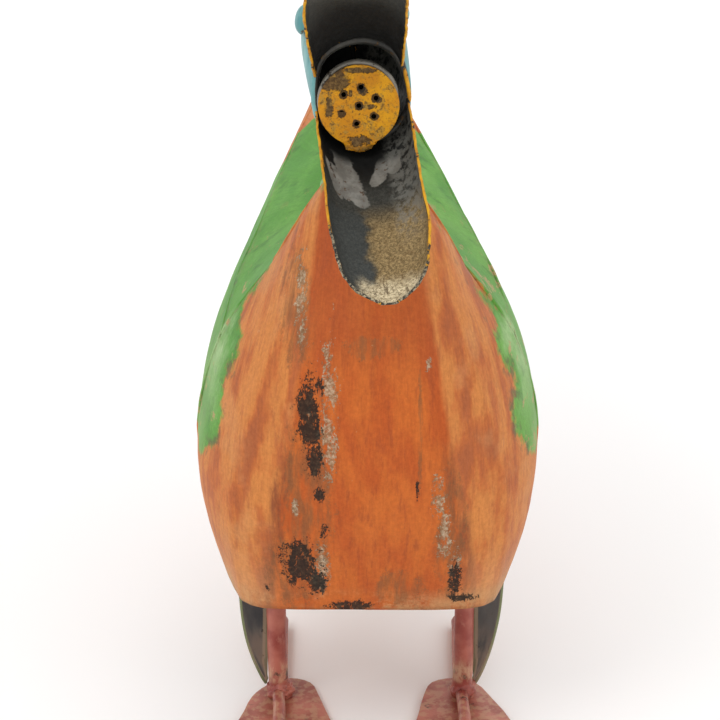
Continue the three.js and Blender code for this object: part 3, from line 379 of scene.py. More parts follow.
def bare_steel(name):
    """The unpainted inside of the bill: dark steel, rust grain and solder smears."""
    p = Paint(name, specular=0.35)
    tip_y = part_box("lower_bill")[0].y
    rose_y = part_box("rose_disc")[0].y
    along = p.math("DIVIDE", p.math("SUBTRACT", rose_y, p.y), rose_y - tip_y)
    lower = p.ramp(p.z, 0.35, 0.335)
    centre = p.add(p.times(along, 0.0095), -0.002)
    across = p.math("SUBTRACT", p.x, centre)
    coarse = p.noise(110, 6, shift=3, rough=0.65)
    medium = p.noise(320, 6, shift=4, rough=0.7)
    grain = p.noise(900, 9, shift=5, rough=0.92)
    scratch = p.noise(620, 4, (1, 0.16, 0.3), 8, rough=0.7)
    sway = p.add(coarse, -0.5)
    color = p.mix(p.ramp(grain, 0.38, 0.66), (0.022, 0.022, 0.019), (0.085, 0.084, 0.07))
    # Rust grain down the middle and the right of the trough.
    rust_zone = p.times(p.ramp(p.add(across, p.times(sway, 0.02)), -0.006, 0.001), p.ramp(along, 0.28, 0.5))
    rust = p.mix(p.ramp(grain, 0.4, 0.62), (0.1, 0.062, 0.022), (0.54, 0.38, 0.17))
    rust = p.mix(p.times(p.ramp(medium, 0.5, 0.66), 0.5), rust, (0.15, 0.08, 0.025))
    color = p.mix(p.times(p.times(rust_zone, lower), 0.92), color, rust)
    # A smooth slate patch on the other side.
    slate_zone = p.times(p.ramp(along, 0.93, 0.84), p.ramp(p.add(along, p.times(sway, 0.2)), 0.36, 0.42))
    slate_zone = p.times(slate_zone, p.ramp(p.add(across, p.times(sway, 0.012)), -0.0025, -0.006))
    slate = p.mix(p.ramp(grain, 0.4, 0.68), (0.034, 0.038, 0.036), (0.1, 0.105, 0.096))
    color = p.mix(p.times(p.times(slate_zone, lower), 0.85), color, slate)
    # Painted shade: darkening towards the throat, deep inside the bill.
    throat = p.math("MAXIMUM", p.times(p.ramp(p.y, -0.19, -0.172), 0.93), p.times(p.ramp(along, 0.1, -0.12), 0.75))
    color = p.mix(throat, color, (0.006, 0.006, 0.0055))
    # Tongues of solder run out from under the rose: slope, start, half width, where they begin and end.
    solder = p.mix(p.ramp(coarse, 0.4, 0.6), (0.21, 0.2, 0.175), (0.33, 0.32, 0.285))
    solder = p.mix(p.ramp(medium, 0.57, 0.63), solder, (0.13, 0.08, 0.05))
    for slope, start, reach, begin, stop in (
        (0.018, -0.0098, 0.0042, -0.1, 0.33), (0.026, -0.0165, 0.002, 0.14, 0.31), (0.022, -0.0188, 0.0015, 0.14, 0.3),
        (-0.03, 0.0088, 0.0034, -0.1, 0.19), (-0.012, 0.0125, 0.003, -0.1, 0.12),
    ):
        line = p.add(p.times(along, slope), start)
        off = p.times(p.math("SUBTRACT", across, line), 1 / reach)
        past = p.times(p.math("MAXIMUM", p.add(along, 0.05 - stop), 0), 1 / 0.05)
        before = p.times(p.math("MAXIMUM", p.math("SUBTRACT", begin, along), 0), 1 / 0.05)
        far = p.add(p.add(p.times(off, off), p.times(past, past)), p.times(before, before))
        far = p.add(p.math("SQRT", far), p.add(p.times(sway, 1.6), p.times(p.add(medium, -0.5), 0.9)))
        tongue = p.times(p.ramp(far, 1.05, 0.8), p.ramp(p.y, -0.166, -0.172))
        color = p.mix(p.times(p.times(tongue, lower), 0.88), color, solder)
    wall_smear = p.times(p.ramp(p.add(across, p.times(sway, 0.006)), 0.0075, 0.0115), p.ramp(medium, 0.4, 0.55))
    wall_smear = p.times(p.times(wall_smear, lower), p.ramp(along, 0.62, 0.4))
    color = p.mix(p.times(wall_smear, 0.6), color, (0.24, 0.235, 0.205))
    tip = p.times(p.ramp(p.add(along, p.times(sway, 0.2)), 0.76, 0.88), lower)
    tip = p.times(tip, p.ramp(p.add(across, p.times(sway, 0.01)), -0.0125, -0.007))
    polished = p.mix(p.ramp(grain, 0.42, 0.54), (0.2, 0.13, 0.06), (0.84, 0.72, 0.48))
    polished = p.mix(p.times(p.ramp(scratch, 0.56, 0.62), 0.8), polished, (0.1, 0.065, 0.035))
    color = p.mix(p.times(tip, 0.92), color, polished)
    lit = p.times(p.ramp(p.add(p.z, p.times(sway, 0.02)), 0.378, 0.4), p.ramp(grain, 0.38, 0.58))
    color = p.mix(p.times(lit, 0.75), color, (0.19, 0.18, 0.15))
    # Yellow enamel laps over the rim in places, and a black line follows the bare edge.
    lap_noise = p.add(p.times(p.add(p.noise(300, 5, shift=12, rough=0.7), -0.5), 0.9), p.times(sway, 1.2))
    lap = p.ramp(p.add(p.attribute("rim"), lap_noise), 0.8, 0.86)
    lap = p.times(lap, p.ramp(along, 0.84, 0.76))
    yellow = p.mix(p.ramp(medium, 0.4, 0.6), (0.62, 0.29, 0.008), (0.42, 0.16, 0.008))
    edge_line = p.times(p.ramp(p.attribute("rim"), 0.6, 0.82), p.ramp(medium, 0.36, 0.5))
    color = p.mix(p.times(edge_line, 0.75), color, (0.02, 0.017, 0.012))
    color = p.mix(p.times(lap, 0.95), color, yellow)
    metallic = p.times(p.math("SUBTRACT", 1, lap), 0.45)
    roughness = p.add(0.46, p.times(grain, 0.25))
    height = p.add(p.times(grain, 0.6), p.times(medium, 0.5))
    height = p.add(height, p.times(lap, 0.6))
    return p.finish(color, roughness, height, metallic=metallic, bump=0.6, depth=0.0004)


def bill_rim(name):
    """The cut edge of the bill: yellow near the mouth, chipped to black, and bare at the lower tip."""
    p = Paint(name, specular=0.35)
    tip_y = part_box("lower_bill")[0].y
    ragged = p.noise(190, 5, shift=2, rough=0.65)
    crumbs = p.noise(800, 4, shift=4, rough=0.75)
    yellow = p.mix(p.ramp(ragged, 0.4, 0.6), (0.68, 0.34, 0.006), (0.5, 0.2, 0.006))
    near_tip = p.times(p.ramp(p.y, tip_y + 0.036, tip_y + 0.018), p.ramp(p.z, 0.35, 0.34))
    right = p.times(p.ramp(p.x, 0.008, 0.012), p.ramp(p.y, tip_y + 0.008, tip_y + 0.014))
    near_tip = p.times(near_tip, p.math("SUBTRACT", 1, p.times(right, 0.8)))
    chipped = p.ramp(p.add(ragged, p.times(near_tip, 0.5)), 0.585, 0.625)
    bare = p.mix(p.ramp(crumbs, 0.45, 0.6), (0.014, 0.012, 0.009), (0.5, 0.42, 0.27))
    bare = p.mix(p.math("SUBTRACT", 1, p.times(near_tip, 0.8)), bare, (0.018, 0.014, 0.009))
    color = p.mix(chipped, yellow, bare)
    return p.finish(color, p.add(0.4, p.times(crumbs, 0.2)), p.math("SUBTRACT", crumbs, chipped), bump=0.6, depth=0.0004)


def rose_paint(name, holes):
    """Thick yellow enamel, worn through to dark metal round the holes and at the disc's upper left."""
    p = Paint(name, specular=0.22)
    low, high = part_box("rose_disc")
    middle = (low + high) / 2
    radius = (high.x - low.x) / 2
    across = p.times(p.add(p.x, -middle.x), 1 / radius)
    up = p.times(p.add(p.z, -middle.z), 1 / radius)
    tone = p.noise(90, 5, shift=2)
    ragged = p.noise(230, 6, shift=4, rough=0.7)
    crumbs = p.noise(800, 5, shift=6, rough=0.75)
    color = p.mix(p.ramp(tone, 0.35, 0.65), (0.66, 0.31, 0.004), (0.53, 0.21, 0.004))
    color = p.mix(p.times(p.ramp(crumbs, 0.5, 0.64), 0.6), color, (0.32, 0.11, 0.006))
    speck = p.times(p.ramp(p.noise(520, 5, shift=9, rough=0.8), 0.58, 0.64), p.ramp(tone, 0.35, 0.55))
    color = p.mix(p.times(speck, 0.85), color, (0.05, 0.03, 0.01))
    sway = p.add(p.times(p.add(ragged, -0.5), 1.9), p.times(p.add(crumbs, -0.5), 0.9))

    def patch(at_x, at_z, reach_x, reach_z, spread=1.0):
        dx = p.times(p.add(across, -at_x), 1 / reach_x)
        dz = p.times(p.add(up, -at_z), 1 / reach_z)
        distance = p.math("SQRT", p.add(p.times(dx, dx), p.times(dz, dz)))
        return p.ramp(p.add(distance, p.times(sway, spread)), 1.06, 0.86)

    bare = patch(-0.62, 0.62, 0.4, 0.26)
    for place in ((-0.72, 0.0, 0.09, 0.3), (0.2, -0.02, 0.24, 0.055), (0.5, 0.14, 0.09, 0.09), (0.02, -0.86, 0.3, 0.12),
                  (0.08, 0.4, 0.12, 0.14), (-0.05, 0.86, 0.45, 0.07), (-0.2, 0.3, 0.05, 0.09)):
        bare = p.math("MAXIMUM", bare, patch(*place, 1.5))
    metal = p.mix(p.ramp(crumbs, 0.42, 0.66), (0.014, 0.011, 0.007), (0.15, 0.09, 0.03))
    color = p.mix(p.times(bare, 0.9), color, metal)
    around_holes = 0.0
    for hole in holes:
        spot = patch((hole.x - middle.x) / radius, (hole.z - middle.z) / radius, 0.112, 0.11, 0.95)
        around_holes = p.math("MAXIMUM", around_holes, spot)
    color = p.mix(p.times(around_holes, 0.9), color, (0.02, 0.014, 0.007))
    lower_side = p.times(p.ramp(up, -0.9, -1.06), p.ramp(ragged, 0.36, 0.52))
    color = p.mix(p.times(lower_side, 0.9), color, p.mix(p.ramp(crumbs, 0.4, 0.6), (0.045, 0.028, 0.012), (0.22, 0.13, 0.03)))
    worn_edge = p.times(p.ramp(p.attribute("rim"), 0.35, 0.8), p.ramp(ragged, 0.52, 0.6))
    color = p.mix(p.times(worn_edge, 0.8), color, p.mix(p.ramp(crumbs, 0.42, 0.55), (0.05, 0.03, 0.012), (0.4, 0.22, 0.03)))
    height = p.math("SUBTRACT", p.add(p.times(tone, 0.6), p.times(crumbs, 0.5)), p.times(bare, 0.9))
    return p.finish(color, p.add(0.36, p.times(crumbs, 0.25)), height, bump=0.6, depth=0.0005)


def leg_paint(name):
    p = Paint(name)
    tone = p.noise(60, 5, shift=3)
    wear = p.noise(150, 6, (1, 1, 0.5), 6, rough=0.7)
    color = p.mix(p.ramp(tone, 0.35, 0.65), (0.25, 0.046, 0.034), (0.42, 0.13, 0.09))
    web = p.ramp(p.z, 0.0075, 0.0035)
    color = p.mix(p.times(web, 0.75), color, p.mix(p.ramp(tone, 0.4, 0.6), (0.32, 0.085, 0.055), (0.46, 0.15, 0.1)))
    color = p.mix(p.times(p.ramp(wear, 0.55, 0.66), 0.4), color, (0.46, 0.2, 0.14))
    color = p.mix(p.times(p.ramp(p.noise(95, 6, shift=14, rough=0.7), 0.6, 0.66), 0.85), color, (0.035, 0.028, 0.02))
    # Painted highlight: pale at the ankle bend, broken up by the wear noise.
    ankle = p.times(p.ramp(p.z, 0.028, 0.019), p.ramp(p.z, 0.0105, 0.0135))
    color = p.mix(p.times(p.times(ankle, p.ramp(wear, 0.4, 0.6)), 0.55), color, (0.62, 0.42, 0.25))
    worn = p.times(p.ramp(p.attribute("rim"), 0.45, 0.95), p.ramp(p.noise(240, 5, shift=17), 0.45, 0.6))
    color = p.mix(p.times(worn, 0.6), color, (0.5, 0.3, 0.17))
    height = p.add(p.times(wear, 0.7), p.times(tone, 0.3))
    return p.finish(color, p.add(0.34, p.times(wear, 0.25)), height, bump=0.45, depth=0.0005, coat=0.2)


def slate_paint(name):
    p = Paint(name)
    tone = p.noise(55, 5, (1, 1, 0.4), 3)
    grain = p.noise(300, 5, shift=5, rough=0.7)
    color = p.mix(p.ramp(tone, 0.35, 0.65), (0.07, 0.08, 0.086), (0.17, 0.175, 0.165))
    rim = p.add(p.attribute("rim"), p.times(p.add(tone, -0.5), 0.35))
    color = p.mix(p.times(p.ramp(rim, 0.22, 0.4), 0.8), color, (0.5, 0.4, 0.27))
    color = p.mix(p.ramp(rim, 0.66, 0.8), color, (0.2, 0.23, 0.12))
    low = p.times(p.ramp(p.z, 0.036, 0.022), p.ramp(tone, 0.45, 0.58))
    color = p.mix(p.times(low, 0.45), color, (0.45, 0.34, 0.25))
    color = p.mix(p.times(p.ramp(grain, 0.62, 0.7), 0.6), color, (0.02, 0.018, 0.015))
    return p.finish(color, p.add(0.4, p.times(tone, 0.2)), p.add(p.times(grain, 0.5), tone), bump=0.4, depth=0.0004)


BODY = body_paint("worn_orange_and_green", True)
ORANGE_ONLY = body_paint("worn_orange", False)
GREEN_PAINT = chipped_paint("worn_green", GREEN, GREEN_PALE, GREEN_DARK, (0.3, 0.2, 0.1), 120, 0.64)
TEAL_PAINT = chipped_paint("worn_teal", (0.075, 0.25, 0.26), (0.17, 0.37, 0.36), (0.03, 0.13, 0.15), (0.09, 0.08, 0.06), 150, 0.66)
YELLOW_PAINT = chipped_paint("chipped_yellow", (0.66, 0.33, 0.012), (0.52, 0.22, 0.01), (0.34, 0.13, 0.01), (0.04, 0.034, 0.024), 300, 0.585, 0.3)
BILL_RIM = bill_rim("chipped_yellow_rim")
STEEL = bare_steel("bare_steel_inside")


def rose_face():
    """The rose's middle, radius, facing direction and hole centres, from its node."""
    mesh = NODES["rose_disc"].data
    facing = Vector()
    for face in mesh.polygons:
        if face.normal.y < -0.9:
            facing += face.normal * face.area
    facing.normalize()
    front = max(vertex.co.dot(facing) for vertex in mesh.vertices)
    rim = [v.co.copy() for v in mesh.vertices if v.co.dot(facing) > front - 1e-4]
    low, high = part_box("rose_disc")
    middle = (low + high) / 2
    middle += facing * (front - middle.dot(facing))
    radius = max((p - middle).length for p in rim)
    holes = []
    for point in rim:
        if (point - middle).length < radius * 0.8:
            for hole in holes:
                if (hole[0] - point).length < 3.2 * MM:
                    hole.append(point)
                    break
            else:
                holes.append([point])
    return middle, radius, facing, [sum(hole, Vector()) / len(hole) for hole in holes]


ROSE_MIDDLE, ROSE_RADIUS, ROSE_FACING, ROSE_HOLES = rose_face()
ROSE = rose_paint("worn_yellow_rose", ROSE_HOLES)
COLLAR_STEEL = chipped_paint("worn_collar_steel", (0.12, 0.11, 0.09), (0.26, 0.24, 0.2), (0.05, 0.045, 0.03),
                             (0.03, 0.02, 0.012), 300, 0.58, 0.3, 0.4)
MOUTH_SOLDER = chipped_paint("dark_solder", (0.03, 0.029, 0.026), (0.07, 0.066, 0.055), (0.012, 0.011, 0.009),
                             (0.11, 0.06, 0.02), 260, 0.6, 0.3, 0.4)
RED_PAINT = leg_paint("worn_red")
SLATE = slate_paint("slate_and_olive")
HARDWARE = chipped_paint("old_iron", (0.1, 0.09, 0.075), (0.2, 0.18, 0.15), (0.05, 0.04, 0.03), (0.16, 0.08, 0.035), 200, 0.6, 0.3, 0.7)


# ---- mesh helpers --------------------------------------------------------------------------

def clean_copy(node):
    """The node's mesh as quads, with its shared vertices merged."""
    mesh = bmesh.new()
    mesh.from_mesh(NODES[node].data)
    bmesh.ops.remove_doubles(mesh, verts=mesh.verts, dist=1e-5)
    bmesh.ops.join_triangles(
        mesh, faces=mesh.faces, angle_face_threshold=math.radians(25), angle_shape_threshold=math.radians(60)
    )
    return mesh


def thin_wall(face):
    """Whether a face is part of a panel's cut edge: as narrow as the sheet is thick."""
    lengths = [edge.calc_length() for edge in face.edges]
    if min(lengths) < BODY_SHEET * 1.06:
        return True
    long_edges = [edge for edge in face.edges if edge.calc_length() > BODY_SHEET * 1.35]
    if len(long_edges) == len(lengths):
        return False
    return all(edge.calc_face_angle(0) > math.radians(35) for edge in long_edges)


def end_wall(face):
    return abs(face.normal.y) > 0.8


def outer_sheet(node, core, is_wall=thin_wall):
    """One face of a sheet-metal node, the one away from core, without its thin edges."""
    mesh = clean_copy(node)
    walls = [f for f in mesh.faces if is_wall(f)]
    bmesh.ops.delete(mesh, geom=walls, context="FACES")
    inner = [f for f in mesh.faces if f.normal.dot(f.calc_center_median() - core) < 0]
    bmesh.ops.delete(mesh, geom=inner, context="FACES")
    loose = [v for v in mesh.verts if not v.link_faces]
    bmesh.ops.delete(mesh, geom=loose, context="VERTS")
    return mesh


def joined(meshes, distance):
    """Several open sheets as one, with edges closer than distance welded."""
    whole = bmesh.new()
    for part in meshes:
        data = bpy.data.meshes.new("part")
        part.to_mesh(data)
        part.free()
        whole.from_mesh(data)
        bpy.data.meshes.remove(data)
    bmesh.ops.remove_doubles(whole, verts=whole.verts, dist=distance)
    return whole


def new_object(name, mesh, *materials):
    data = bpy.data.meshes.new(name)
    mesh.to_mesh(data)
    mesh.free()
    piece = bpy.data.objects.new(name, data)
    bpy.context.scene.collection.objects.link(piece)
    for material in materials:
        data.materials.append(material)
    for face in data.polygons:
        face.use_smooth = True
    return piece


def apply_modifiers(piece):
    graph = bpy.context.evaluated_depsgraph_get()
    mesh = bpy.data.meshes.new_from_object(piece.evaluated_get(graph))
    old = piece.data
    piece.modifiers.clear()
    piece.data = mesh
    mesh.name = piece.name
    bpy.data.meshes.remove(old)


def subdivide(piece, levels):
    modifier = piece.modifiers.new("subdivide", "SUBSURF")
    modifier.levels = levels
    modifier.render_levels = levels
    modifier.boundary_smooth = "PRESERVE_CORNERS"


def thicken(piece, thickness, offset=-1, inner_slot=0, rim_slot=0):
    modifier = piece.modifiers.new("thicken", "SOLIDIFY")
    modifier.thickness = thickness
    modifier.offset = offset
    modifier.use_even_offset = True
    modifier.material_offset = inner_slot
    modifier.material_offset_rim = rim_slot


def dent(piece, depth, scale, seed=0, fine=0.0, fine_scale=300):
    """Pushes the surface in and out by smooth noise, the same on both faces of a thin sheet."""
    for vertex in piece.data.vertices:
        place = vertex.co
        push = noise.noise_vector(place * scale + Vector((seed, seed * 1.7, seed * 0.3))) * depth
        if fine:
            push += noise.noise_vector(place * fine_scale + Vector((seed, 3, 5))) * fine
        vertex.co = place + push


def mark_rim(piece, points, reach):
    """A vertex attribute that is 1 at the given edge points and fades to 0 over reach."""
    tree = KDTree(len(points))
    for index, point in enumerate(points):
        tree.insert(point, index)
    tree.balance()
    attribute = piece.data.attributes.new("rim", "FLOAT", "POINT")
    for index, vertex in enumerate(piece.data.vertices):
        distance = tree.find(vertex.co)[2]
        attribute.data[index].value = max(0.0, 1 - distance / reach)


def edge_points(edges, step):
    """Points along edges, no more than step apart."""
    points = []
    for edge in edges:
        a, b = (v.co for v in edge.verts)
        count = max(1, math.ceil((b - a).length / step))
        points += [a.lerp(b, k / count) for k in range(count + 1)]
    return points


def boundary_points(mesh, step=0.002):
    return edge_points([edge for edge in mesh.edges if edge.is_boundary], step)


def finish_piece(piece, slot, body, *nodes):
    if nodes:
        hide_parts(*nodes)
    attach(piece, body)
    return piece


# ---- body panels ---------------------------------------------------------------------------

SHEETS = {}


def panel(name, nodes, core, material, levels=3, crease=0.0, weld=None, depth=0.0007, seed=1):
    meshes = [outer_sheet(node, core) for node in nodes]
    SHEETS[name] = [boundary_points(mesh) for mesh in meshes]
    mesh = joined(meshes, weld or 1e-6)
    cut_edges = boundary_points(mesh)
    if crease:
        layer = mesh.edges.layers.float.new("crease_edge")
        for edge in mesh.edges:
            if len(edge.link_faces) == 2 and edge.calc_face_angle() > math.radians(11):
                edge[layer] = crease
    piece = new_object(name, mesh, material)
    subdivide(piece, levels)
    thicken(piece, BODY_SHEET)
    apply_modifiers(piece)
    dent(piece, depth, 28, seed, 0.00012, 150)
    mark_rim(piece, cut_edges, 0.004)
    return finish_piece(piece, "orange_paint", "can", *nodes)


panel("breast", ["breast_side_right", "breast_panel", "breast_side_left"], TANK, BODY, 3, 0.45, 1.15 * MM, 0.0009, 2)
for side in ("left", "right"):
    panel("flank_panel_" + side, ["flank_" + side], TANK, BODY, 3, seed=5)
    panel("back_panel_" + side, ["back_" + side], TANK, BODY, 2, seed=8)
panel("neck_back", ["neck_rear"], Vector((0, -0.1265, 0.262)), ORANGE_ONLY, 3, seed=4)
panel("belly_underside", ["belly_rear"], Vector((0, 0.06, 0.25)), ORANGE_ONLY, 3, seed=6)


# Painted-over solder beads along the seams between panels.
def shared_seam(points_a, points_b, axis, reach=SEAM_REACH):
    tree = KDTree(len(points_b))
    for index, point in enumerate(points_b):
        tree.insert(point, index)
    tree.balance()
    seam = []
    for point in points_a:
        near, _, distance = tree.find(point)
        if distance < reach:
            seam.append((point + near) / 2)
    seam.sort(key=lambda p: p[axis])
    return seam


def thinned(points, gap):
    kept = [points[0]]
    for point in points[1:]:
        if (point - kept[-1]).length > gap:
            kept.append(point)
    return kept


def bead(name, points, radius, material, slot, lumps=0.25, seed=0, sink=0.0, core=TANK):
    """A lumpy tube along points."""
    count = 8
    mesh = bmesh.new()
    rings = []
    for index, point in enumerate(points):
        ahead = points[min(index + 1, len(points) - 1)] - points[max(index - 1, 0)]
        ahead.normalize()
        side_way = ahead.cross((point - core).normalized()).normalized()
        up = side_way.cross(ahead)
        swell = 1 + lumps * noise.noise(point * 260 + Vector((seed, 0, 0)))
        if index in (0, len(points) - 1):
            swell *= 0.3
        centre = point - (point - core).normalized() * sink
        ring = []
        for k in range(count):
            angle = 2 * math.pi * k / count
            ring.append(mesh.verts.new(centre + (side_way * math.cos(angle) + up * math.sin(angle)) * radius * swell))
        rings.append(ring)
    for low, high in zip(rings, rings[1:]):
        for k in range(count):
            mesh.faces.new((low[k], low[(k + 1) % count], high[(k + 1) % count], high[k]))
    mesh.faces.new(list(reversed(rings[0])))
    mesh.faces.new(rings[-1])
    bmesh.ops.recalc_face_normals(mesh, faces=mesh.faces)
    piece = new_object(name, mesh, material)
    subdivide(piece, 1)
    apply_modifiers(piece)
    return finish_piece(piece, slot, "can")


BREAST_RIGHT, BREAST_MIDDLE, BREAST_LEFT = SHEETS["breast"]
for side, breast in (("left", BREAST_LEFT), ("right", BREAST_RIGHT)):
    flank = SHEETS["flank_panel_" + side][0]
    back = SHEETS["back_panel_" + side][0]
    neck = SHEETS["neck_back"][0]
    lower = thinned(shared_seam(breast, flank, 2), 0.003)
    bead("seam_side_" + side, lower, 0.0009, BODY, "orange_paint", seed=1, sink=0.0006)
    upper = thinned(shared_seam(breast, back, 2), 0.003)
    bead("seam_shoulder_front_" + side, upper, 0.0017, BODY, "green_paint", seed=2, sink=0.0011)
    shoulder = thinned(shared_seam(flank, back, 1), 0.004)
    bead("seam_shoulder_" + side, shoulder, 0.0009, BODY, "green_paint", seed=3, sink=0.0006)
    throat = thinned(shared_seam(neck, breast, 2), 0.003)
    throat = [p for p in throat if p.x * (1 if side == "left" else -1) > 0]
    bead("seam_neck_" + side, throat, 0.0008, BODY, "orange_paint", seed=4, sink=0.0007)
    foot = thinned(shared_seam(neck, back, 0, 4.5 * MM), 0.004)
    bead("seam_neck_foot_" + side, foot, 0.0016, ORANGE_ONLY, "orange_paint", seed=7, sink=0.0002)
spine = thinned(shared_seam(SHEETS["back_panel_left"][0], SHEETS["back_panel_right"][0], 1), 0.004)
bead("seam_spine", spine, 0.0011, BODY, "green_paint", seed=5, sink=0.0005)


# ---- other refined CAD pieces --------------------------------------------------------------

def refined(node, material, slot, body="can", levels=2, crease=0.9, depth=0.0003, seed=1, sharp=35, bevel=0.0,
            inside=None):
    """A finer copy of a node: quads, softened edges, and a little hand-made unevenness.

    inside is a point and the material of the faces that look towards it."""
    mesh = clean_copy(node)
    if inside:
        for face in mesh.faces:
            if face.normal.dot(face.calc_center_median() - inside[0]) < 0:
                face.material_index = 1
    if bevel:
        bmesh.ops.dissolve_limit(mesh, angle_limit=math.radians(4), verts=mesh.verts, edges=mesh.edges)
    layer = mesh.edges.layers.float.new("crease_edge")
    sharp_edges = [e for e in mesh.edges if len(e.link_faces) == 2 and e.calc_face_angle() > math.radians(sharp)]
    rim = edge_points(sharp_edges, 0.001)
    if bevel:
        bmesh.ops.bevel(mesh, geom=sharp_edges, offset=bevel, segments=3, profile=0.6, affect="EDGES")
    else:
        for edge in sharp_edges:
            edge[layer] = crease
    piece = new_object(node + "_piece", mesh, material, *([inside[1]] if inside else []))
    if levels:
        subdivide(piece, levels)
        apply_modifiers(piece)
    if depth:
        dent(piece, depth, 45, seed)
    if rim:
        mark_rim(piece, rim, 0.0035)
    return finish_piece(piece, slot, body, node)


refined("belly_plate", ORANGE_ONLY, "orange_paint", levels=0, bevel=0.0003, depth=0)
refined("rump_cap", ORANGE_ONLY, "orange_paint", levels=0, bevel=0.0003, depth=0.0002)
refined("tail_fan", ORANGE_ONLY, "orange_paint", levels=3, depth=0.0005)
refined("neck_sleeve", ORANGE_ONLY, "orange_paint", levels=3, depth=0.0004)
refined("water_pipe", HARDWARE, "bare_steel", levels=1)
for side in ("left", "right"):
    refined("thigh_" + side, SLATE, "slate_paint", levels=3, depth=0.0005, seed=3)
    refined("leg_" + side, RED_PAINT, "red_paint", levels=3, depth=0.0005, seed=4)
    refined("middle_toe_" + side, RED_PAINT, "red_paint", levels=2, depth=0.0006, seed=5)
    refined("hind_toe_" + side, RED_PAINT, "red_paint", levels=3, depth=0.0004, seed=6)
    refined("foot_" + side, RED_PAINT, "red_paint", levels=0, bevel=0.0006, depth=0.0002, seed=7)
    refined("leg_pad_" + side, RED_PAINT, "red_paint", levels=0, bevel=0.0005, depth=0)
    refined("handle_rivet_" + side, HARDWARE, "bare_steel", levels=2, depth=0.0001)
    for place in ("front", "rear"):
        refined(f"pad_rivet_{place}_{side}", HARDWARE, "red_paint", levels=2, depth=0.0001)
refined("filler_collar", GREEN_PAINT, "green_paint", levels=2, depth=0.0001)
refined("handle_strap", GREEN_PAINT, "green_paint", levels=2, crease=0.6, depth=0.0004)
refined("hinge_bracket", GREEN_PAINT, "green_paint", levels=0, bevel=0.0002, depth=0)
refined("hinge_pin", HARDWARE, "bare_steel", levels=0, bevel=0.0003, depth=0)
refined("filler_lid", GREEN_PAINT, "green_paint", "lid", levels=0, bevel=0.0002, depth=0)
refined("lid_knob", RED_PAINT, "red_paint", "lid", levels=2, crease=0.3, depth=0)


# ---- head and bill -------------------------------------------------------------------------

HEAD_MIDDLE = (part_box("head_left")[0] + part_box("head_right")[1]) / 2
for side in ("left", "right"):
    refined("head_" + side, TEAL_PAINT, "teal_paint", levels=2, depth=0.0006, seed=9, inside=(HEAD_MIDDLE, STEEL))
    refined("eye_boss_" + side, TEAL_PAINT, "teal_paint", levels=3, crease=0.5, depth=0.0002, seed=2)


def bill(node, core, seed):
    sheet = outer_sheet(node, core, end_wall)
    rim = boundary_points(sheet, 0.001)
    piece = new_object(node + "_sheet", sheet, YELLOW_PAINT, STEEL, BILL_RIM)
    subdivide(piece, 3)
    thicken(piece, BILL_SHEET, -1, 1, 2)
    apply_modifiers(piece)
    dent(piece, 0.0008, 60, seed, 0.0003, 380)
    mark_rim(piece, rim, 0.0045)
    finish_piece(piece, "yellow_paint", "can", node)
    return rim


LOWER_RIM = bill("lower_bill", Vector((0, -0.2, 0.42)), 3)
UPPER_RIM = bill("upper_bill", Vector((0, -0.25, 0.33)), 6)


def mouth_corner(name, side):
    """The yellow edge that joins the two bills at a corner of the mouth."""
    ends = []
    for rim in (LOWER_RIM, UPPER_RIM):
        middle_x = sum(p.x for p in rim) / len(rim)
        back = max(p.y for p in rim)
        nearby = [p for p in rim if (p.x - middle_x) * side > 0 and p.y > back - 3 * MM]
        ends.append(max(nearby, key=lambda p: abs(p.x - middle_x)))
    low, high = ends
    bulge = Vector((0.0003 * side, -0.0006, 0))
    points = [low.lerp(high, k / 6) + bulge * math.sin(math.pi * k / 6) for k in range(7)]
    bead(name, points, 0.001, BILL_RIM, "yellow_paint", 0.3, 4, 0.0, HEAD_MIDDLE)


mouth_corner("mouth_corner_left", 1)
mouth_corner("mouth_corner_right", -1)

refined("rose_barrel", HARDWARE, "yellow_paint", levels=2, crease=0.8, depth=0.0002)


def head_seam():
    """Solder along the line where the two halves of the head meet, all but the mouth and the neck."""
    left = [v.co for v in NODES["head_left"].data.vertices]
    right = [v.co for v in NODES["head_right"].data.vertices]
    seam = shared_seam(left, right, 0, 1.6 * MM)
    seam = [(math.atan2(p.z - HEAD_MIDDLE.z, p.y - HEAD_MIDDLE.y), p) for p in seam]
    seam = [(turn if turn > -math.pi / 2 else turn + 2 * math.pi, p) for turn, p in seam]
    seam.sort(key=lambda pair: pair[0])
    chains = [[]]
    for turn, point in seam:
        alike = [p for other, p in seam if abs(other - turn) < 0.06]
        if (point - HEAD_MIDDLE).length < max((p - HEAD_MIDDLE).length for p in alike) - 0.3 * MM:
            continue
        chain = chains[-1]
        if chain and (point - chain[-1]).length < 2 * MM:
            continue
        if chain and (point - chain[-1]).length > 17 * MM:
            chains.append([])
            chain = chains[-1]
        chain.append(point)
    for index, chain in enumerate(c for c in chains if len(c) > 1):
        for _ in range(2):
            finer = [chain[0]]
            for a, b in zip(chain, chain[1:]):
                reach = ((a - HEAD_MIDDLE).length + (b - HEAD_MIDDLE).length) / 2
                finer += [HEAD_MIDDLE + ((a + b) / 2 - HEAD_MIDDLE).normalized() * reach, b]
            chain = finer
        seam_bead = bead(f"head_seam_{index}", chain, 0.0013, TEAL_PAINT, "teal_paint", seed=8, sink=0.0005,
                         core=HEAD_MIDDLE)
        seam_bead.data.materials.append(STEEL)
        for face in seam_bead.data.polygons:
            if face.normal.dot(face.center - HEAD_MIDDLE) < 0:
                face.material_index = 1


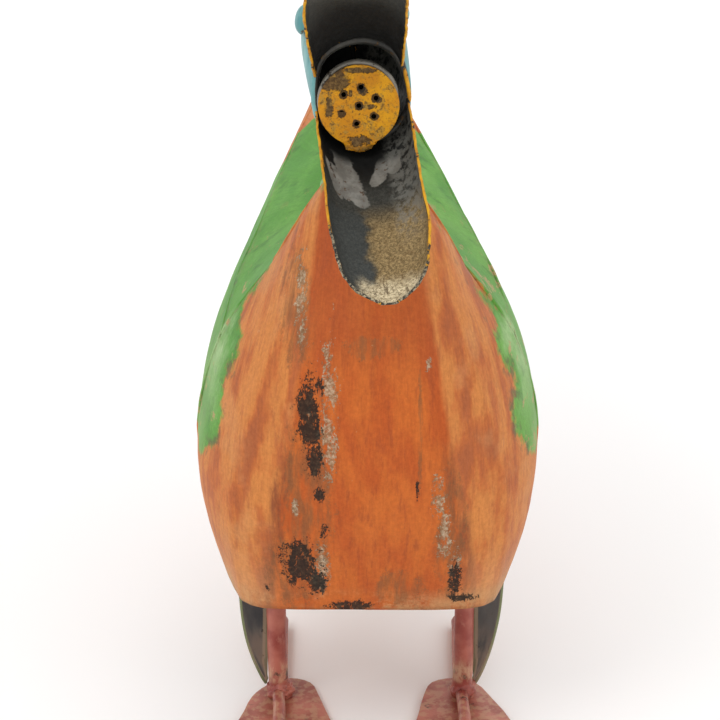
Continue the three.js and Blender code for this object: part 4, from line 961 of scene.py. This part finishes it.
def mouth_solder():
    """A dark solder fillet that fills the gap between the head's rim and the two bills."""
    bills = [v.co for node in ("lower_bill", "upper_bill") for v in NODES[node].data.vertices]
    heads = [v.co for node in ("head_left", "head_right") for v in NODES[node].data.vertices]
    tree = KDTree(len(bills))
    for index, point in enumerate(bills):
        tree.insert(point, index)
    tree.balance()
    rim = []
    for point in heads:
        near, _, distance = tree.find(point)
        if distance < 5.5 * MM:
            rim.append(point.lerp(near, 0.35))
    middle = sum(rim, Vector()) / len(rim)
    steps = 30
    around = {}
    for point in rim:
        offset = point - middle
        around.setdefault(round(math.atan2(offset.z, offset.x) / (2 * math.pi) * steps) % steps, []).append(point)
    loop = [sum(around[k], Vector()) / len(around[k]) for k in sorted(around)]
    loop.append(loop[0])
    ring = bead("mouth_solder", loop, 0.0021, MOUTH_SOLDER, "bare_steel", 0.3, 3, 0.0, middle + Vector((0, 0.02, 0)))
    ring.data.materials.append(TEAL_PAINT)
    half_width = max(abs(point.x - middle.x) for point in loop)
    for face in ring.data.polygons:
        away = face.center - middle
        away.y = 0
        if abs(away.x) > half_width * 0.93 and face.normal.dot(away.normalized()) > 0.1:
            face.material_index = 1


head_seam()
mouth_solder()


def rose():
    """The drilled disc, with burrs round its holes and a lump of solder under it."""
    middle, radius, facing = ROSE_MIDDLE, ROSE_RADIUS, ROSE_FACING
    refined("rose_disc", ROSE, "yellow_paint", levels=0, bevel=0.00025, depth=0.0003, seed=5)
    turn = facing.to_track_quat("Z", "Y").to_matrix().to_4x4()
    burrs = bmesh.new()
    around, section = 20, 8
    for index, centre in enumerate(ROSE_HOLES):
        ring = 1.35 * MM
        rows = []
        for i in range(around):
            angle = 2 * math.pi * i / around
            thick = (0.32 + 0.2 * noise.noise(Vector((index * 3.1, math.cos(angle) * 2, math.sin(angle) * 2)))) * MM
            row = []
            for k in range(section):
                tilt = 2 * math.pi * k / section
                reach = ring + thick * math.cos(tilt)
                spot = Vector((reach * math.cos(angle), reach * math.sin(angle), thick * math.sin(tilt)))
                row.append(burrs.verts.new(centre + turn.to_3x3() @ spot))
            rows.append(row)
        for i in range(around):
            for k in range(section):
                a, b = rows[i], rows[(i + 1) % around]
                burrs.faces.new((a[k], b[k], b[(k + 1) % section], a[(k + 1) % section]))
    bmesh.ops.recalc_face_normals(burrs, faces=burrs.faces)
    finish_piece(new_object("rose_burrs", burrs, ROSE), "yellow_paint", "can")

    cup = bmesh.new()
    rows = []
    for reach, behind in ((14.9, 9.5), (14.4, 12.5), (11.5, 15), (8, 16.4), (5.6, 17)):
        row = []
        for i in range(40):
            angle = 2 * math.pi * i / 40
            spot = Vector((reach * math.cos(angle), reach * math.sin(angle), -behind)) * MM
            row.append(cup.verts.new(middle + turn.to_3x3() @ spot))
        rows.append(row)
    for wide, narrow in zip(rows, rows[1:]):
        for i in range(40):
            k = (i + 1) % 40
            cup.faces.new((wide[i], wide[k], narrow[k], narrow[i]))
    bmesh.ops.recalc_face_normals(cup, faces=cup.faces)
    funnel = new_object("rose_funnel", cup, MOUTH_SOLDER)
    thicken(funnel, 0.6 * MM, 0)
    apply_modifiers(funnel)
    finish_piece(funnel, "bare_steel", "can")

    collar = middle - facing * 2.6 * MM + Vector((0, 0, 1.9 * MM))
    ring_bead("rose_collar", collar, radius - 0.9 * MM, 1.5 * MM, COLLAR_STEEL, "bare_steel", facing, 4)

    lump = bmesh.new()
    bmesh.ops.create_icosphere(lump, subdivisions=5, radius=1)
    down = (Vector((0, 0, -1)) - facing * -facing.z).normalized()
    across = facing.cross(down)
    base = middle + down * (radius - 1.2 * MM) - facing * 1.2 * MM
    for vertex in lump.verts:
        place = vertex.co
        swell = 1 + 0.35 * noise.noise(place * 1.6 + Vector((3, 1, 2))) + 0.1 * noise.noise(place * 5)
        across_part = across * place.x * 6.2 * MM
        down_part = down * (place.y * 3.4 * MM)
        out_part = facing * (place.z * 1.9 * MM)
        vertex.co = base + (across_part + down_part + out_part) * swell
    finish_piece(new_object("solder_lump", lump, ROSE), "yellow_paint", "can")


# ---- weld beads ----------------------------------------------------------------------------

def ring_bead(name, centre, radius, thickness, material, slot, axis=Vector((0, 0, 1)), seed=0, squash=(1, 1)):
    turn = axis.to_track_quat("Z", "Y").to_matrix()
    points = []
    steps = 28
    for k in range(steps + 1):
        angle = 2 * math.pi * k / steps
        points.append(centre + turn @ Vector((radius * squash[0] * math.cos(angle), radius * squash[1] * math.sin(angle), 0)))
    return bead(name, points, thickness, material, slot, 0.35, seed, 0.0, centre + axis * 0.001)


rose()
sleeve_low, sleeve_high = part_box("neck_sleeve")
sleeve_radius = 16 * MM
collar_centre = Vector((sleeve_low.x + sleeve_radius - 0.3 * MM, sleeve_low.y + sleeve_radius, sleeve_high.z - 0.4 * MM))
ring_bead("neck_collar", collar_centre, sleeve_radius, 2.1 * MM, TEAL_PAINT, "teal_paint", seed=5)
ring_bead("neck_joint", Vector((0, sleeve_high.y - sleeve_radius, sleeve_low.z)), sleeve_radius + 0.2 * MM, 1.1 * MM,
          ORANGE_ONLY, "orange_paint", seed=6)


def rump_solder():
    """Solder round the plate that closes the rump."""
    low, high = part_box("rump_cap")
    corners = {(round(v.co.x, 5), round(v.co.z, 5)) for v in NODES["rump_cap"].data.vertices}
    middle = (low + high) / 2
    loop = [Vector((x, low.y - 0.4 * MM, z)) for x, z in corners]
    loop.sort(key=lambda p: math.atan2(p.z - middle.z, p.x - middle.x))
    dense = []
    for a, b in zip(loop, loop[1:] + loop[:1]):
        count = max(1, round((b - a).length / (3 * MM)))
        dense += [a.lerp(b, k / count) for k in range(count)]
    bead("rump_solder", dense + dense[:1], 1.5 * MM, ORANGE_ONLY, "orange_paint", 0.25, 9, 0.0, middle)


rump_solder()
for side in ("left", "right"):
    low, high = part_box("leg_" + side)
    toe_low, toe_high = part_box("middle_toe_" + side)
    bottom = Vector(((toe_low.x + toe_high.x) / 2, (low.y + high.y) / 2, low.z + 1.2 * MM))
    knuckle = bmesh.new()
    bmesh.ops.create_icosphere(knuckle, subdivisions=5, radius=1)
    for vertex in knuckle.verts:
        place = vertex.co
        swell = 1 + 0.22 * noise.noise(place * 1.7 + Vector((low.x * 90, 0, 4))) + 0.07 * noise.noise(place * 5)
        spread = Vector((place.x * 6.6, place.y * 7.4, place.z * 5.2 + 1.6)) * MM * swell
        vertex.co = bottom + spread
        vertex.co.z = max(vertex.co.z, 3.1 * MM)
    finish_piece(new_object("ankle_weld_" + side, knuckle, RED_PAINT), "red_paint", "can")
